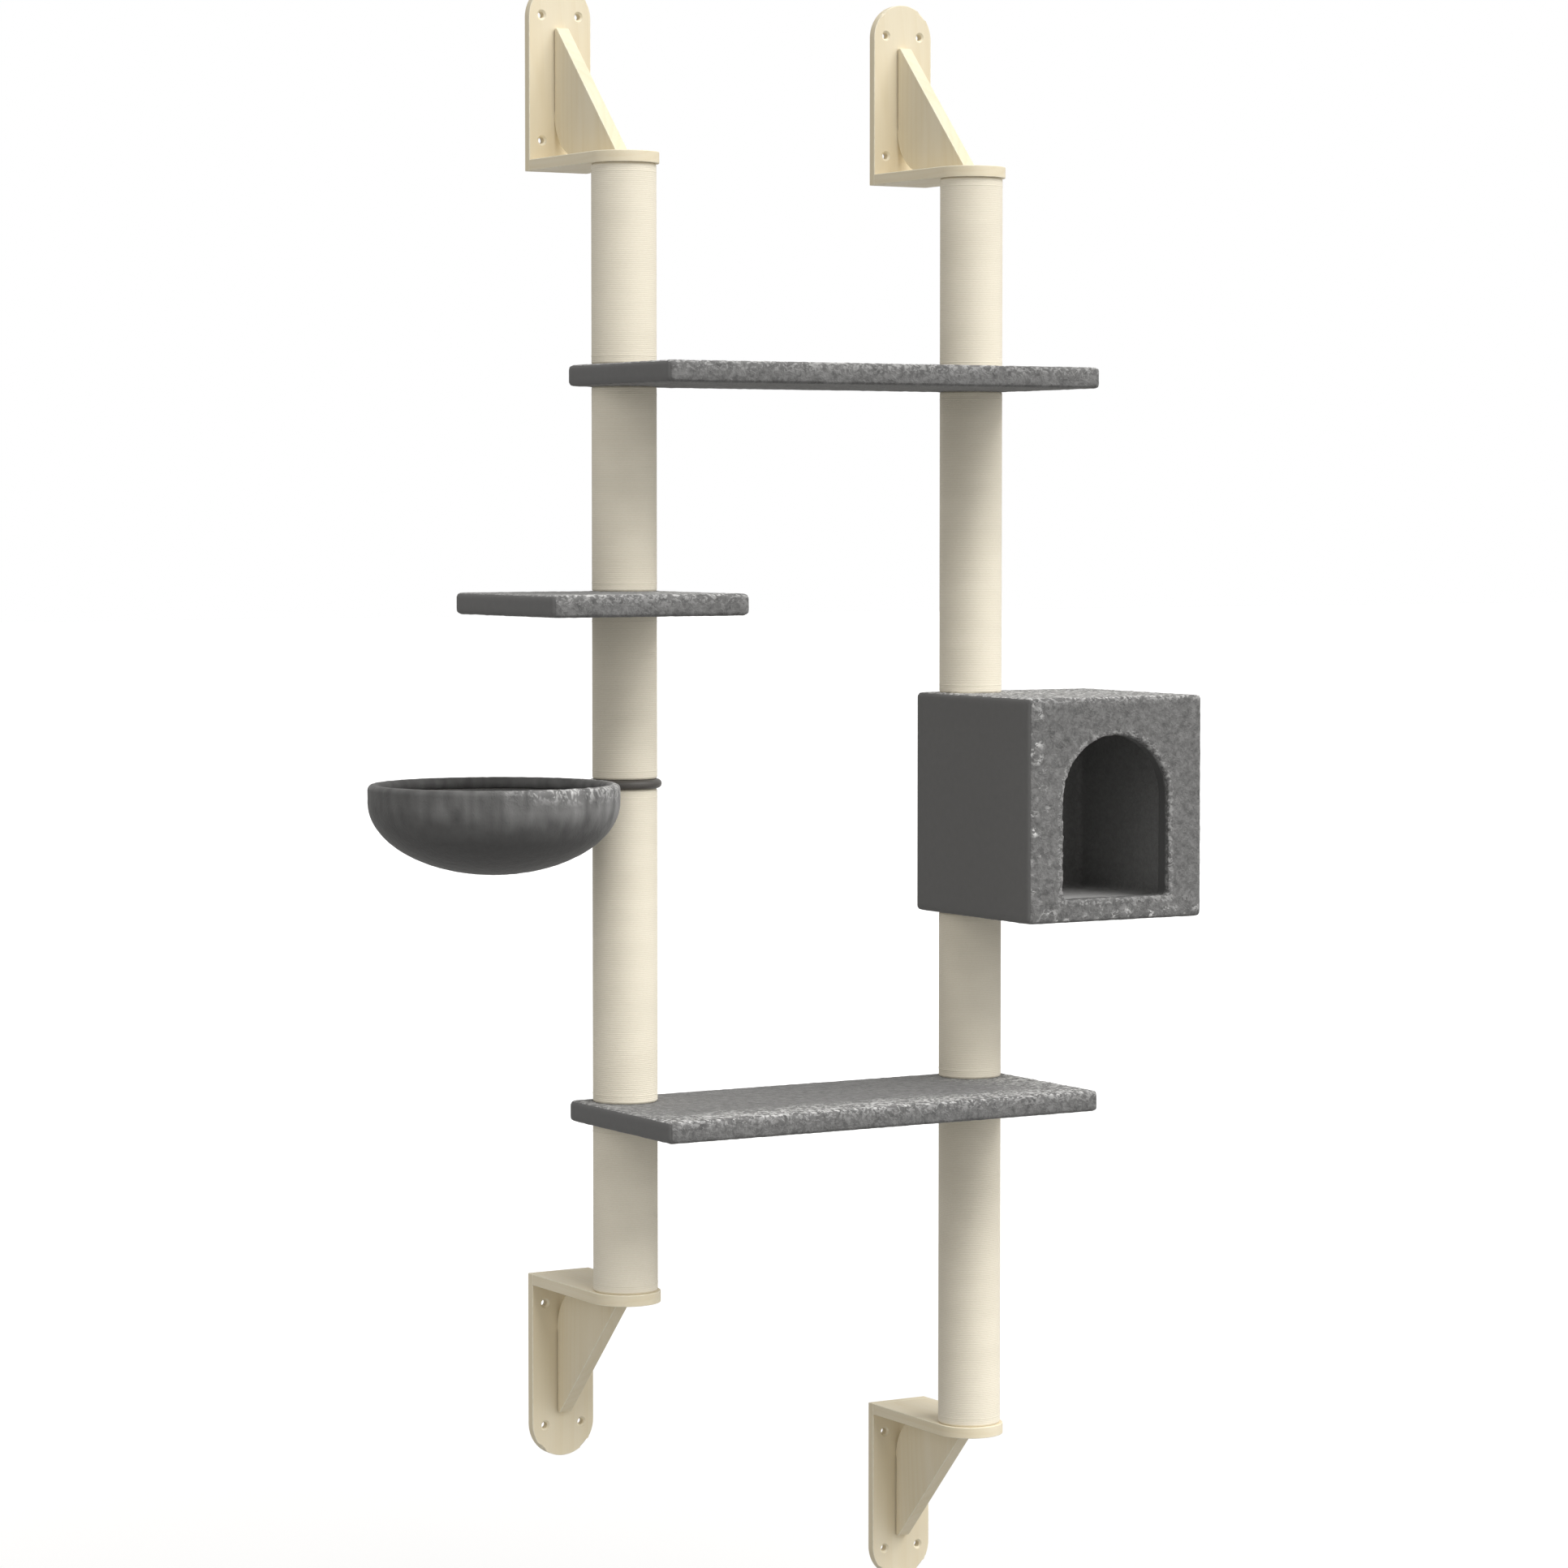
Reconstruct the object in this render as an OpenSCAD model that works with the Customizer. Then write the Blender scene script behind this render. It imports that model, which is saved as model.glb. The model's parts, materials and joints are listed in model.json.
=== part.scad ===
// Wall mounted cat tree, in millimetres with +Z up.
// The wall is the plane Y = 0 and the tree stands in front of it, towards -Y.
// The origin is the middle of the upper left bracket's four wall holes.

/* [Wall brackets] */
// Width of each wall plate and of its arm
plate_w = 86; // [82:1:100]
// Height of each wall plate
plate_h = 232; // [226:1:260]
// Thickness of each wall plate
plate_t = 12; // [10:1:18]
// Thickness of each arm
arm_t = 14; // [13:1:20]
// Thickness of each gusset
gusset_t = 17; // [12:1:22]
// Height of each gusset above its arm
gusset_h = 162; // [150:1:175]
// Depth of each gusset's blunt end at the wall plate
gusset_tip = 7; // [4:1:12]
// Height of each gusset's blunt end near the post
gusset_nose = 3; // [1:0.5:6]
// Distance from the end of each gusset to the post axis
gusset_end_gap = 5; // [2:1:15]
// Radius of each gusset's rounded inner corner
gusset_corner_r = 60; // [30:1:70]

/* [Wall holes] */
// Diameter of the holes for the wall screws
wall_hole_d = 8; // [5:0.5:9]
// Distance between the wall holes, sideways
wall_hole_spacing_x = 51; // [46:1:58]
// Distance between the wall holes, up and down
wall_hole_spacing_z = 154; // [145:1:160]
// Distance from a plate's square end to its nearer wall holes
wall_hole_margin = 38; // [34:1:44]

/* [Posts] */
// Distance between the axes of the two posts
post_spacing = 500; // [440:5:600]
// Distance from the wall to the post axes
post_wall_distance = 175; // [170:1:210]
// Outer diameter of the sisal sleeves
sleeve_d = 79; // [70:1:80]
// Thickness of the sisal sleeves
sleeve_t = 4; // [2:0.5:5]
// Wall of the cardboard tubes
tube_wall = 4; // [2:0.5:6]
// Thickness of the plugs in the tube ends
plug_t = 20; // [18:1:26]

/* [Levels] */
// Length of both posts above the top shelf
top_post_len = 242; // [150:1:320]
// Clear height from the top shelf down to the lower shelf
shelf_gap = 869; // [820:1:1000]
// Clear height from the top shelf down to the small shelf
small_shelf_drop = 248; // [180:1:300]
// Height from the small shelf down to the middle of the basket's collar
basket_drop = 207; // [120:1:250]
// Clear height from the top shelf down to the house
house_drop = 380.5; // [280:0.5:480]
// Length of the left post below the lower shelf
left_foot_len = 206; // [120:1:300]
// Length of the right post below the lower shelf
right_foot_len = 418; // [200:1:500]

/* [Shelves] */
// Depth of every shelf, from front to back
shelf_d = 254; // [220:1:300]
// How far the long shelves run past the post axes at each end
shelf_end_overhang = 55; // [46:1:80]
// How far the shelves run behind the post axes
shelf_back_overhang = 44; // [42:1:60]
// Width of the small shelf
small_shelf_w = 263; // [200:1:320]
// How far the small shelf runs past the post axis on the right
small_shelf_overhang = 55; // [42:1:60]
// Thickness of the shelf boards
shelf_board_t = 18; // [15:1:25]
// Radius of the shelves' corners, seen from above
shelf_corner_r = 7; // [6:1:24]

/* [Plush] */
// Thickness of the plush on the shelves and outside the house
plush_t = 4; // [3:0.5:6]
// Radius of the plush covers' edges
plush_edge_r = 5; // [2:0.5:6]

/* [House] */
// Width of the house
house_w = 260; // [240:1:290]
// Depth of the house, from front to back
house_d = 260; // [240:1:290]
// Height of the house
house_h = 278; // [266:1:300]
// Distance from the house's left side to the post axis
house_side_inset = 50; // [46:1:60]
// Distance from the house's back to the post axis
house_back_inset = 50; // [46:1:60]
// Thickness of the house's boards
house_board_t = 15; // [12:1:16]
// Thickness of the lining inside the house
house_lining_t = 3; // [1:0.5:4]
// Width of the arched doorway
arch_w = 158; // [120:1:170]
// Height of the doorway's sill above the house's underside
arch_sill = 28; // [25:1:34]
// Height of the front above the doorway, up to the house's top
arch_head = 47; // [44:1:80]
// Thickness of the plush that lines the doorway's edge
arch_wrap_t = 3; // [1:0.5:3.5]

/* [Basket] */
// Outer diameter of the basket
basket_d = 300; // [260:2:310]
// Height of the basket, rim included
basket_h = 108; // [90:1:130]
// Height of the basket's upright side, rim included
basket_side_h = 21; // [16:1:30]
// Diameter of the padded rim
rim_d = 14; // [11:0.5:18]
// Diameter of the steel hoop's rod
hoop_rod_d = 6; // [4:0.5:8]
// Thickness of the basket's outer plush and of its lining
basket_plush_t = 3.5; // [2:0.5:5]
// Thickness of the foam between them
basket_foam_t = 5; // [3:0.5:8]
// Gap between the basket and its collar
basket_gap = 4; // [2:0.5:12]
// Angle of the basket, turned forwards from the line of the shelves
basket_turn = 10; // [0:0.5:45]
// How far the collar stands out from the post
collar_lip = 5.5; // [3:0.5:10]
// Thickness of the collar
collar_t = 11; // [8:1:16]
// Width of the hoop's tongue
tongue_w = 24; // [16:1:30]
// Thickness of the hoop's tongue
tongue_t = 3; // [2:0.5:4]

/* [Fastenings] */
// Diameter of the joining studs and of the house's bolts
stud_d = 8; // [6:1:10]
// How far each stud reaches into a plug
stud_grip = 16; // [12:1:17]
// Diameter of the threaded inserts in the arms
insert_d = 12; // [11:0.5:14]
// Length of the threaded inserts
insert_len = 10; // [8:0.5:11]
// Diameter of the wood screws
screw_d = 4; // [3:0.5:5]
// Diameter of the wood screws' heads
screw_head_d = 8; // [6.5:0.5:10]
// Height of the wood screws' countersunk heads
screw_head_h = 2.5; // [1.5:0.5:3]
// Length of the screws in the brackets
bracket_screw_len = 36; // [28:1:40]
// Length of the screws in the house
house_screw_len = 38; // [28:1:45]

/* [Hidden] */
bracket_names = ["upper_left", "upper_right", "lower_left", "lower_right"];
left_numbers = [1, 2, 3, 4, 5];
right_numbers = [1, 2, 3, 4];
$fn = 96;

// Gap between round pieces that are glued or screwed into one another
fit_gap = 0.15;
// Gap between the flat faces of the collar and of the posts it turns between
turn_gap = 0.3;
// Gap all round the stud in the collar's bore
turn_play = 0.08;
// Gap all round a stud or bolt that only passes through
stud_play = 0.5;
// How far a cut runs past the face that it opens
overrun = 1;
// Depth of a screw's head below the face that it enters
screw_recess = 0.5;

// Levels, from the posts' upper ends down to their lower ends
shelf_t = shelf_board_t + 2 * plush_t;
top_z = -wall_hole_margin - wall_hole_spacing_z / 2;
top_shelf_z = top_z - top_post_len - shelf_t;
lower_shelf_z = top_shelf_z - shelf_gap - shelf_t;
small_shelf_z = top_shelf_z - small_shelf_drop - shelf_t;
collar_z = small_shelf_z - basket_drop;
collar_half_space = collar_t / 2 + turn_gap;
house_z = top_shelf_z - house_drop - house_h;
left_foot_z = lower_shelf_z - left_foot_len;
right_foot_z = lower_shelf_z - right_foot_len;

// Lower and upper end of every post section, from the top down
left_spans = [
    [top_shelf_z + shelf_t, top_z],
    [small_shelf_z + shelf_t, top_shelf_z],
    [collar_z + collar_half_space, small_shelf_z],
    [lower_shelf_z + shelf_t, collar_z - collar_half_space],
    [left_foot_z, lower_shelf_z]];
right_spans = [
    [top_shelf_z + shelf_t, top_z],
    [house_z + house_h, top_shelf_z],
    [lower_shelf_z + shelf_t, house_z],
    [right_foot_z, lower_shelf_z]];

// Lower and upper end of every joining stud
left_stud_spans = [
    [top_z - stud_grip, top_z + insert_len],
    [top_shelf_z - stud_grip, top_shelf_z + shelf_t + stud_grip],
    [small_shelf_z - stud_grip, small_shelf_z + shelf_t + stud_grip],
    [collar_z - collar_half_space - stud_grip, collar_z + collar_half_space + stud_grip],
    [lower_shelf_z - stud_grip, lower_shelf_z + shelf_t + stud_grip],
    [left_foot_z - insert_len, left_foot_z + stud_grip]];
right_stud_spans = [
    [top_z - stud_grip, top_z + insert_len],
    [top_shelf_z - stud_grip, top_shelf_z + shelf_t + stud_grip],
    [lower_shelf_z - stud_grip, lower_shelf_z + shelf_t + stud_grip],
    [right_foot_z - insert_len, right_foot_z + stud_grip]];

// Post axis, end level and direction of every bracket, 1 above the post and -1 below it
bracket_places = [
    [0, top_z, 1],
    [post_spacing, top_z, 1],
    [0, left_foot_z, -1],
    [post_spacing, right_foot_z, -1]];

// Brackets
gusset_len = post_wall_distance - plate_t - gusset_end_gap;
arm_screw_x = plate_w / 4;
gusset_screw_shares = [0.5, 0.8];

// Posts
tube_d = sleeve_d - 2 * sleeve_t - 2 * fit_gap;
plug_d = tube_d - 2 * tube_wall - 2 * fit_gap;

// Shelves
shelf_front_y = -post_wall_distance + shelf_back_overhang - shelf_d;
long_shelf_w = post_spacing + 2 * shelf_end_overhang;
board_corner_r = shelf_corner_r - plush_t;

// House
house_x = post_spacing - house_side_inset;
house_y = -post_wall_distance + house_back_inset - house_d;
house_wall_t = plush_t + house_board_t;
house_side_h = house_h - 2 * house_wall_t;
arch_h = house_h - arch_sill - arch_head;
house_screw_shares = [0.2, 0.8];
bolt_head_h = stud_d * 0.65;
bolt_head_d = stud_d * 1.85;
washer_t = stud_d * 0.2;
washer_d = stud_d * 2.6;

// Basket
basket_r = basket_d / 2;
collar_r = sleeve_d / 2 + collar_lip;
basket_reach = collar_r + basket_gap + basket_r;
hoop_r = basket_r - rim_d / 2;
side_drop = basket_side_h - rim_d / 2;
bowl_h = basket_h - basket_side_h;
bowl_steps = 20;
tongue_root = stud_d * 1.75;
layer_gap = 0.3;
foam_inset = basket_plush_t + layer_gap;
lining_inset = foam_inset + basket_foam_t + layer_gap;

// Puts a piece that is drawn for an upper bracket at bracket number i
module at_bracket(i) {
    translate([bracket_places[i][0], 0, bracket_places[i][1]])
        if (bracket_places[i][2] > 0) children();
        else mirror([0, 0, 1]) children();
}

// Outline of a wood screw whose head lies at 0, with play all round and the cut carried on to top
function screw_outline(length, play, top) = [
    [0, top],
    [screw_head_d / 2 + play, top],
    [screw_head_d / 2 + play, -screw_recess],
    [screw_d / 2 + play, -screw_recess - screw_head_h],
    [screw_d / 2 + play, -length],
    [0, -length - play]];

module wood_screw(length) {
    rotate_extrude() polygon(screw_outline(length, 0, -screw_recess));
}

module wood_screw_cut(length) {
    rotate_extrude() polygon(screw_outline(length + fit_gap, fit_gap, overrun));
}

// Places of the four screws that enter a bracket from behind its wall plate
module at_bracket_screws() {
    for (x = [-arm_screw_x, arm_screw_x]) translate([x, 0, arm_t / 2]) rotate([-90, 0, 0]) children();
    for (share = gusset_screw_shares)
        translate([0, 0, arm_t + gusset_h * share]) rotate([-90, 0, 0]) children();
}

module wall_plate_outline() {
    difference() {
        union() {
            translate([-plate_w / 2, 0]) square([plate_w, plate_h - plate_w / 2]);
            translate([0, plate_h - plate_w / 2]) circle(d = plate_w);
        }
        for (x = [-wall_hole_spacing_x / 2, wall_hole_spacing_x / 2], z = [0, wall_hole_spacing_z])
            translate([x, wall_hole_margin + z]) circle(d = wall_hole_d);
    }
}

module wall_plate(i) {
    color("#ebdcbc") at_bracket(i) difference() {
        rotate([90, 0, 0]) linear_extrude(plate_t) wall_plate_outline();
        at_bracket_screws() wood_screw_cut(bracket_screw_len);
    }
}

module arm(i) {
    color("#e3d4b1") at_bracket(i) difference() {
        linear_extrude(arm_t) {
            translate([-plate_w / 2, -post_wall_distance]) square([plate_w, post_wall_distance - plate_t]);
            translate([0, -post_wall_distance]) circle(d = plate_w);
        }
        translate([0, -post_wall_distance, -overrun])
            cylinder(h = insert_len + overrun, d = insert_d + 2 * fit_gap);
        at_bracket_screws() wood_screw_cut(bracket_screw_len);
    }
}

// Side view of a gusset, with the wall plate at X = 0 and the arm at Y = 0
module gusset_outline() {
    difference() {
        polygon([
            [0, 0],
            [-gusset_len, 0],
            [-gusset_len, gusset_nose],
            [-gusset_tip, gusset_h],
            [0, gusset_h]]);
        difference() {
            translate([-gusset_corner_r, -overrun]) square(gusset_corner_r + overrun);
            translate([-gusset_corner_r, gusset_corner_r]) circle(r = gusset_corner_r);
        }
    }
}

module gusset(i) {
    color("#f5e9c8") at_bracket(i) difference() {
        translate([-gusset_t / 2, -plate_t, arm_t])
            rotate([90, 0, 90]) linear_extrude(gusset_t) gusset_outline();
        at_bracket_screws() wood_screw_cut(bracket_screw_len);
    }
}

module bracket_screws() {
    color("silver") for (i = [0 : len(bracket_places) - 1])
        at_bracket(i) at_bracket_screws() wood_screw(bracket_screw_len);
}

module arm_inserts() {
    color("goldenrod") for (i = [0 : len(bracket_places) - 1])
        at_bracket(i) translate([0, -post_wall_distance]) difference() {
            cylinder(h = insert_len, d = insert_d);
            translate([0, 0, -overrun]) cylinder(h = insert_len + 2 * overrun, d = stud_d + 2 * fit_gap);
        }
}

// A ring that stands between the two levels of a span, on the post axis at x
module post_ring(x, span, outer_d, inner_d) {
    translate([x, -post_wall_distance, span[0]]) difference() {
        cylinder(h = span[1] - span[0], d = outer_d);
        translate([0, 0, -overrun]) cylinder(h = span[1] - span[0] + 2 * overrun, d = inner_d);
    }
}

module tube(x, span) {
    color("#b8976a") post_ring(x, span, tube_d, tube_d - 2 * tube_wall);
}

module sleeve(x, span) {
    color("#e7e1d2") post_ring(x, span, sleeve_d, sleeve_d - 2 * sleeve_t);
}

module plugs(x, spans) {
    color("#c9a878") for (span = spans, end = [[span[0], span[0] + plug_t], [span[1] - plug_t, span[1]]])
        post_ring(x, end, plug_d, stud_d + 2 * fit_gap);
}

module studs(x, stud_spans) {
    color("silver") for (span = stud_spans)
        translate([x, -post_wall_distance, span[0]]) cylinder(h = span[1] - span[0], d = stud_d);
}

// A rectangle with round corners, whose lower left corner is the origin
module rounded_rectangle(width, depth, radius) {
    translate([radius, 0]) square([width - 2 * radius, depth]);
    translate([0, radius]) square([width, depth - 2 * radius]);
    for (x = [radius, width - radius], y = [radius, depth - radius])
        translate([x, y]) circle(r = radius);
}

// A padded block: its upright corners have corner_r and its other edges have plush_edge_r
module padded_block(width, depth, height, corner_r) {
    intersection() {
        linear_extrude(height) rounded_rectangle(width, depth, corner_r);
        translate([0, depth, 0]) rotate([90, 0, 0]) linear_extrude(depth)
            rounded_rectangle(width, height, plush_edge_r);
        rotate([90, 0, 90]) linear_extrude(width) rounded_rectangle(depth, height, plush_edge_r);
    }
}

// Shelf pieces start at x and z, and have a stud hole on each post axis in post_axes
module shelf_stud_holes(x, post_axes) {
    for (post_x = post_axes)
        translate([post_x - x, shelf_d - shelf_back_overhang, -overrun])
            cylinder(h = shelf_t + 2 * overrun, d = stud_d + 2 * stud_play);
}

module shelf_board(x, z, width, post_axes) {
    color("#c8a97c") translate([x, shelf_front_y, z]) difference() {
        translate([plush_t, plush_t, plush_t]) linear_extrude(shelf_board_t)
            rounded_rectangle(width - 2 * plush_t, shelf_d - 2 * plush_t, board_corner_r);
        shelf_stud_holes(x, post_axes);
    }
}

module shelf_cover(x, z, width, post_axes) {
    board_space = plush_t - fit_gap;
    color("#5a5b5d") translate([x, shelf_front_y, z]) difference() {
        padded_block(width, shelf_d, shelf_t, shelf_corner_r);
        translate([board_space, board_space, plush_t]) linear_extrude(shelf_board_t)
            rounded_rectangle(width - 2 * board_space, shelf_d - 2 * board_space, board_corner_r + fit_gap);
        shelf_stud_holes(x, post_axes);
    }
}

module long_shelf_board(z) {
    shelf_board(-shelf_end_overhang, z, long_shelf_w, [0, post_spacing]);
}

module long_shelf_cover(z) {
    shelf_cover(-shelf_end_overhang, z, long_shelf_w, [0, post_spacing]);
}

module small_shelf_board() {
    shelf_board(small_shelf_overhang - small_shelf_w, small_shelf_z, small_shelf_w, [0]);
}

module small_shelf_cover() {
    shelf_cover(small_shelf_overhang - small_shelf_w, small_shelf_z, small_shelf_w, [0]);
}

// House pieces are drawn from the house's lower left front corner
module at_house() {
    translate([house_x, house_y, house_z]) children();
}

// A box that lies inset from every outer face of the house
module house_block(inset) {
    translate([inset, inset, inset])
        cube([house_w - 2 * inset, house_d - 2 * inset, house_h - 2 * inset]);
}

// The doorway's shape grown by margin, from depth start to depth end
module doorway(margin, start, end) {
    arch_r = arch_w / 2 + margin;
    translate([house_w / 2, end, 0]) rotate([90, 0, 0]) linear_extrude(end - start) {
        translate([-arch_r, arch_sill - margin]) square([2 * arch_r, arch_h - arch_w / 2 + margin]);
        translate([0, arch_sill + arch_h - arch_w / 2]) circle(r = arch_r);
    }
}

module at_house_bolts() {
    bolt_y = house_d - house_back_inset;
    ceiling_z = house_h - house_wall_t - house_lining_t;
    translate([house_side_inset, bolt_y, ceiling_z]) children();
    translate([house_side_inset, bolt_y, house_h - ceiling_z]) mirror([0, 0, 1]) children();
}

module house_bolt_holes() {
    at_house_bolts() translate([0, 0, -overrun])
        cylinder(h = house_wall_t + house_lining_t + 2 * overrun, d = stud_d + 2 * stud_play);
}

// Places of the screws: down through the roof, up through the floor, and in from both sides
module at_house_screws() {
    middle = plush_t + house_board_t / 2;
    inner_d = house_d - 2 * plush_t;
    for (x = [middle, house_w - middle], share = house_screw_shares) {
        translate([x, plush_t + inner_d * share, house_h - plush_t]) children();
        translate([x, plush_t + inner_d * share, plush_t]) mirror([0, 0, 1]) children();
    }
    for (y = [middle, house_d - middle], share = house_screw_shares) {
        side_z = house_wall_t + house_side_h * share;
        translate([plush_t, y, side_z]) rotate([0, -90, 0]) children();
        translate([house_w - plush_t, y, side_z]) rotate([0, 90, 0]) children();
    }
}

module house_screw_cuts() {
    at_house_screws() wood_screw_cut(house_screw_len);
}

// A board across the house at height z, between the four outer edges
module house_deck(z) {
    color("#c8a97c") at_house() difference() {
        translate([plush_t, plush_t, z])
            cube([house_w - 2 * plush_t, house_d - 2 * plush_t, house_board_t]);
        house_bolt_holes();
        house_screw_cuts();
    }
}

module house_side(x) {
    color("#c8a97c") at_house() difference() {
        translate([x, plush_t, house_wall_t]) cube([house_board_t, house_d - 2 * plush_t, house_side_h]);
        house_screw_cuts();
    }
}

module house_wall(y) {
    translate([house_wall_t, y, house_wall_t])
        cube([house_w - 2 * house_wall_t, house_board_t, house_side_h]);
}

module house_back() {
    color("#c8a97c") at_house() difference() {
        house_wall(house_d - house_wall_t);
        house_screw_cuts();
    }
}

module house_front() {
    color("#c8a97c") at_house() difference() {
        house_wall(plush_t);
        doorway(arch_wrap_t + fit_gap, 0, house_wall_t + overrun);
        house_screw_cuts();
    }
}

module house_cover() {
    color("#57585a") at_house() difference() {
        padded_block(house_w, house_d, house_h, plush_edge_r);
        difference() {
            house_block(plush_t);
            doorway(arch_wrap_t, 0, house_wall_t + house_lining_t);
        }
        doorway(0, -overrun, house_wall_t + house_lining_t + overrun);
        house_bolt_holes();
    }
}

module house_lining() {
    color("#3a3b3d") at_house() difference() {
        house_block(house_wall_t);
        house_block(house_wall_t + house_lining_t);
        doorway(arch_wrap_t + fit_gap, 0, house_wall_t + house_lining_t + overrun);
        house_bolt_holes();
    }
}

module house_screws() {
    color("silver") at_house() at_house_screws() wood_screw(house_screw_len);
}

module house_bolts() {
    shank_len = washer_t + house_lining_t + house_wall_t + stud_grip;
    color("silver") at_house() at_house_bolts() translate([0, 0, -washer_t]) {
        cylinder(h = shank_len, d = stud_d);
        translate([0, 0, -bolt_head_h]) cylinder(h = bolt_head_h, d = bolt_head_d, $fn = 6);
    }
}

module house_washers() {
    color("silver") at_house() at_house_bolts() translate([0, 0, -washer_t]) difference() {
        cylinder(h = washer_t, d = washer_d);
        translate([0, 0, -overrun]) cylinder(h = washer_t + 2 * overrun, d = stud_d + 2 * fit_gap);
    }
}

// Pieces that turn with the basket: the post axis is the origin and the basket lies towards +X
module at_swivel() {
    translate([0, -post_wall_distance, collar_z]) rotate([0, 0, 180 + basket_turn]) children();
}

module at_basket() {
    at_swivel() translate([basket_reach, 0, 0]) children();
}

// The hoop's flat tongue, from the collar to the hoop, grown by play all round
module tongue(play) {
    translate([tongue_root - play, -tongue_w / 2 - play, -tongue_t / 2 - play])
        cube([basket_reach - hoop_r - tongue_root + play, tongue_w + 2 * play, tongue_t + 2 * play]);
}

module basket_collar() {
    color("#5f5c5b") at_swivel() difference() {
        rotate_extrude() {
            translate([0, -collar_t / 2]) square([collar_r - collar_t / 2, collar_t]);
            translate([collar_r - collar_t / 2, 0]) circle(d = collar_t);
        }
        translate([0, 0, -collar_t]) cylinder(h = 2 * collar_t, d = stud_d + 2 * turn_play);
        tongue(0);
    }
}

// A ring of round section with the hoop's radius
module hoop_ring(section_d) {
    rotate_extrude() translate([hoop_r, 0]) circle(d = section_d, $fn = 48);
}

module basket_hoop() {
    color("dimgray") {
        at_basket() hoop_ring(hoop_rod_d);
        at_swivel() tongue(0);
    }
}

// A point of the bowl's curve, inset from its outer face, at an angle from the rim down to the bottom
function bowl_point(inset, angle) =
    [(basket_r - inset) * cos(angle), -side_drop - (bowl_h - inset) * sin(angle)];

// One layer of the bowl, between two insets from its outer face, up to the level top
module bowl_layer(outer, inner, top) {
    rotate_extrude() polygon(concat(
        [[basket_r - outer, top]],
        [for (step = [0 : bowl_steps]) bowl_point(outer, 90 * step / bowl_steps)],
        [for (step = [bowl_steps : -1 : 0]) bowl_point(inner, 90 * step / bowl_steps)],
        [[basket_r - inner, top]]));
}

module basket_cover() {
    color("#545557") difference() {
        at_basket() {
            bowl_layer(0, basket_plush_t, 0);
            hoop_ring(rim_d);
        }
        at_basket() hoop_ring(hoop_rod_d + 2 * layer_gap);
        at_swivel() tongue(layer_gap);
    }
}

module basket_foam() {
    color("gainsboro") at_basket()
        bowl_layer(foam_inset, foam_inset + basket_foam_t, -rim_d / 2 - layer_gap);
}

module basket_lining() {
    color("#444547") at_basket()
        bowl_layer(lining_inset, lining_inset + basket_plush_t, -rim_d / 2 - layer_gap);
}

for (i = [0 : len(bracket_names) - 1]) {
    wall_plate(i);
    arm(i);
    gusset(i);
}
bracket_screws();
arm_inserts();
for (number = left_numbers) {
    tube(0, left_spans[number - 1]);
    sleeve(0, left_spans[number - 1]);
}
for (number = right_numbers) {
    tube(post_spacing, right_spans[number - 1]);
    sleeve(post_spacing, right_spans[number - 1]);
}
plugs(0, left_spans);  // left_plugs
plugs(post_spacing, right_spans);  // right_plugs
studs(0, left_stud_spans);  // left_studs
studs(post_spacing, right_stud_spans);  // right_studs
long_shelf_board(top_shelf_z);  // top_shelf_board
long_shelf_cover(top_shelf_z);  // top_shelf_cover
small_shelf_board();
small_shelf_cover();
long_shelf_board(lower_shelf_z);  // lower_shelf_board
long_shelf_cover(lower_shelf_z);  // lower_shelf_cover
house_deck(plush_t);  // house_floor
house_deck(house_h - house_wall_t);  // house_roof
house_side(plush_t);  // house_left_side
house_side(house_w - house_wall_t);  // house_right_side
house_back();
house_front();
house_cover();
house_lining();
house_screws();
house_bolts();
house_washers();
basket_collar();
basket_hoop();
basket_cover();
basket_foam();
basket_lining();
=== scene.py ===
"""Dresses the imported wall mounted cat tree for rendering.

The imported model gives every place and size. This file adds the finishes, eases the wooden edges, and
replaces the plain cloth solids by woven sisal, plush covers and a lined basket. Lengths are in metres, the
wall is the plane Y = 0, the tree stands towards -Y and +Z is up.
"""

import json
import logging
import math
from collections.abc import Callable
from dataclasses import dataclass, field
from enum import Enum

import bmesh
import bpy
from mathutils import Matrix, Vector, noise

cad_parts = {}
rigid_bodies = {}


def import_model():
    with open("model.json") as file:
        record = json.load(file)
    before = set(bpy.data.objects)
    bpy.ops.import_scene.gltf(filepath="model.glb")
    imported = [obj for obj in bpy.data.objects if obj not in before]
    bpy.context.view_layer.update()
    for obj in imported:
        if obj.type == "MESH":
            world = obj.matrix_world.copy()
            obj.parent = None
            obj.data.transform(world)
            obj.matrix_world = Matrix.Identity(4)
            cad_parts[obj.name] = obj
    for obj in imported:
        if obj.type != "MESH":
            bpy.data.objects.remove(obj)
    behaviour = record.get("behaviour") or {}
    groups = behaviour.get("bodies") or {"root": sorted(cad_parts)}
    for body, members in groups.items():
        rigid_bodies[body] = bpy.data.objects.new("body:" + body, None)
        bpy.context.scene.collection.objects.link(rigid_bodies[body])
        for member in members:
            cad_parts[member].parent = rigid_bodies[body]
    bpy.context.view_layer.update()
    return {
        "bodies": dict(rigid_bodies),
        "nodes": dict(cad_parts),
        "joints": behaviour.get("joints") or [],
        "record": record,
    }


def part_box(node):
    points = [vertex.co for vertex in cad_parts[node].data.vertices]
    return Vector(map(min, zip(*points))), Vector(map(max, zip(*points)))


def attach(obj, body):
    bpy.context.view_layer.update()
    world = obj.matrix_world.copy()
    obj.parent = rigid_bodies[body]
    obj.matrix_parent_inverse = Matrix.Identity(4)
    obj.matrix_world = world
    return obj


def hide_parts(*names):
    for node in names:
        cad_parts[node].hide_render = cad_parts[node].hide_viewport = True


LOG = logging.getLogger("cat_tree")
MM = 0.001
ROUND = 2 * math.pi
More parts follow.
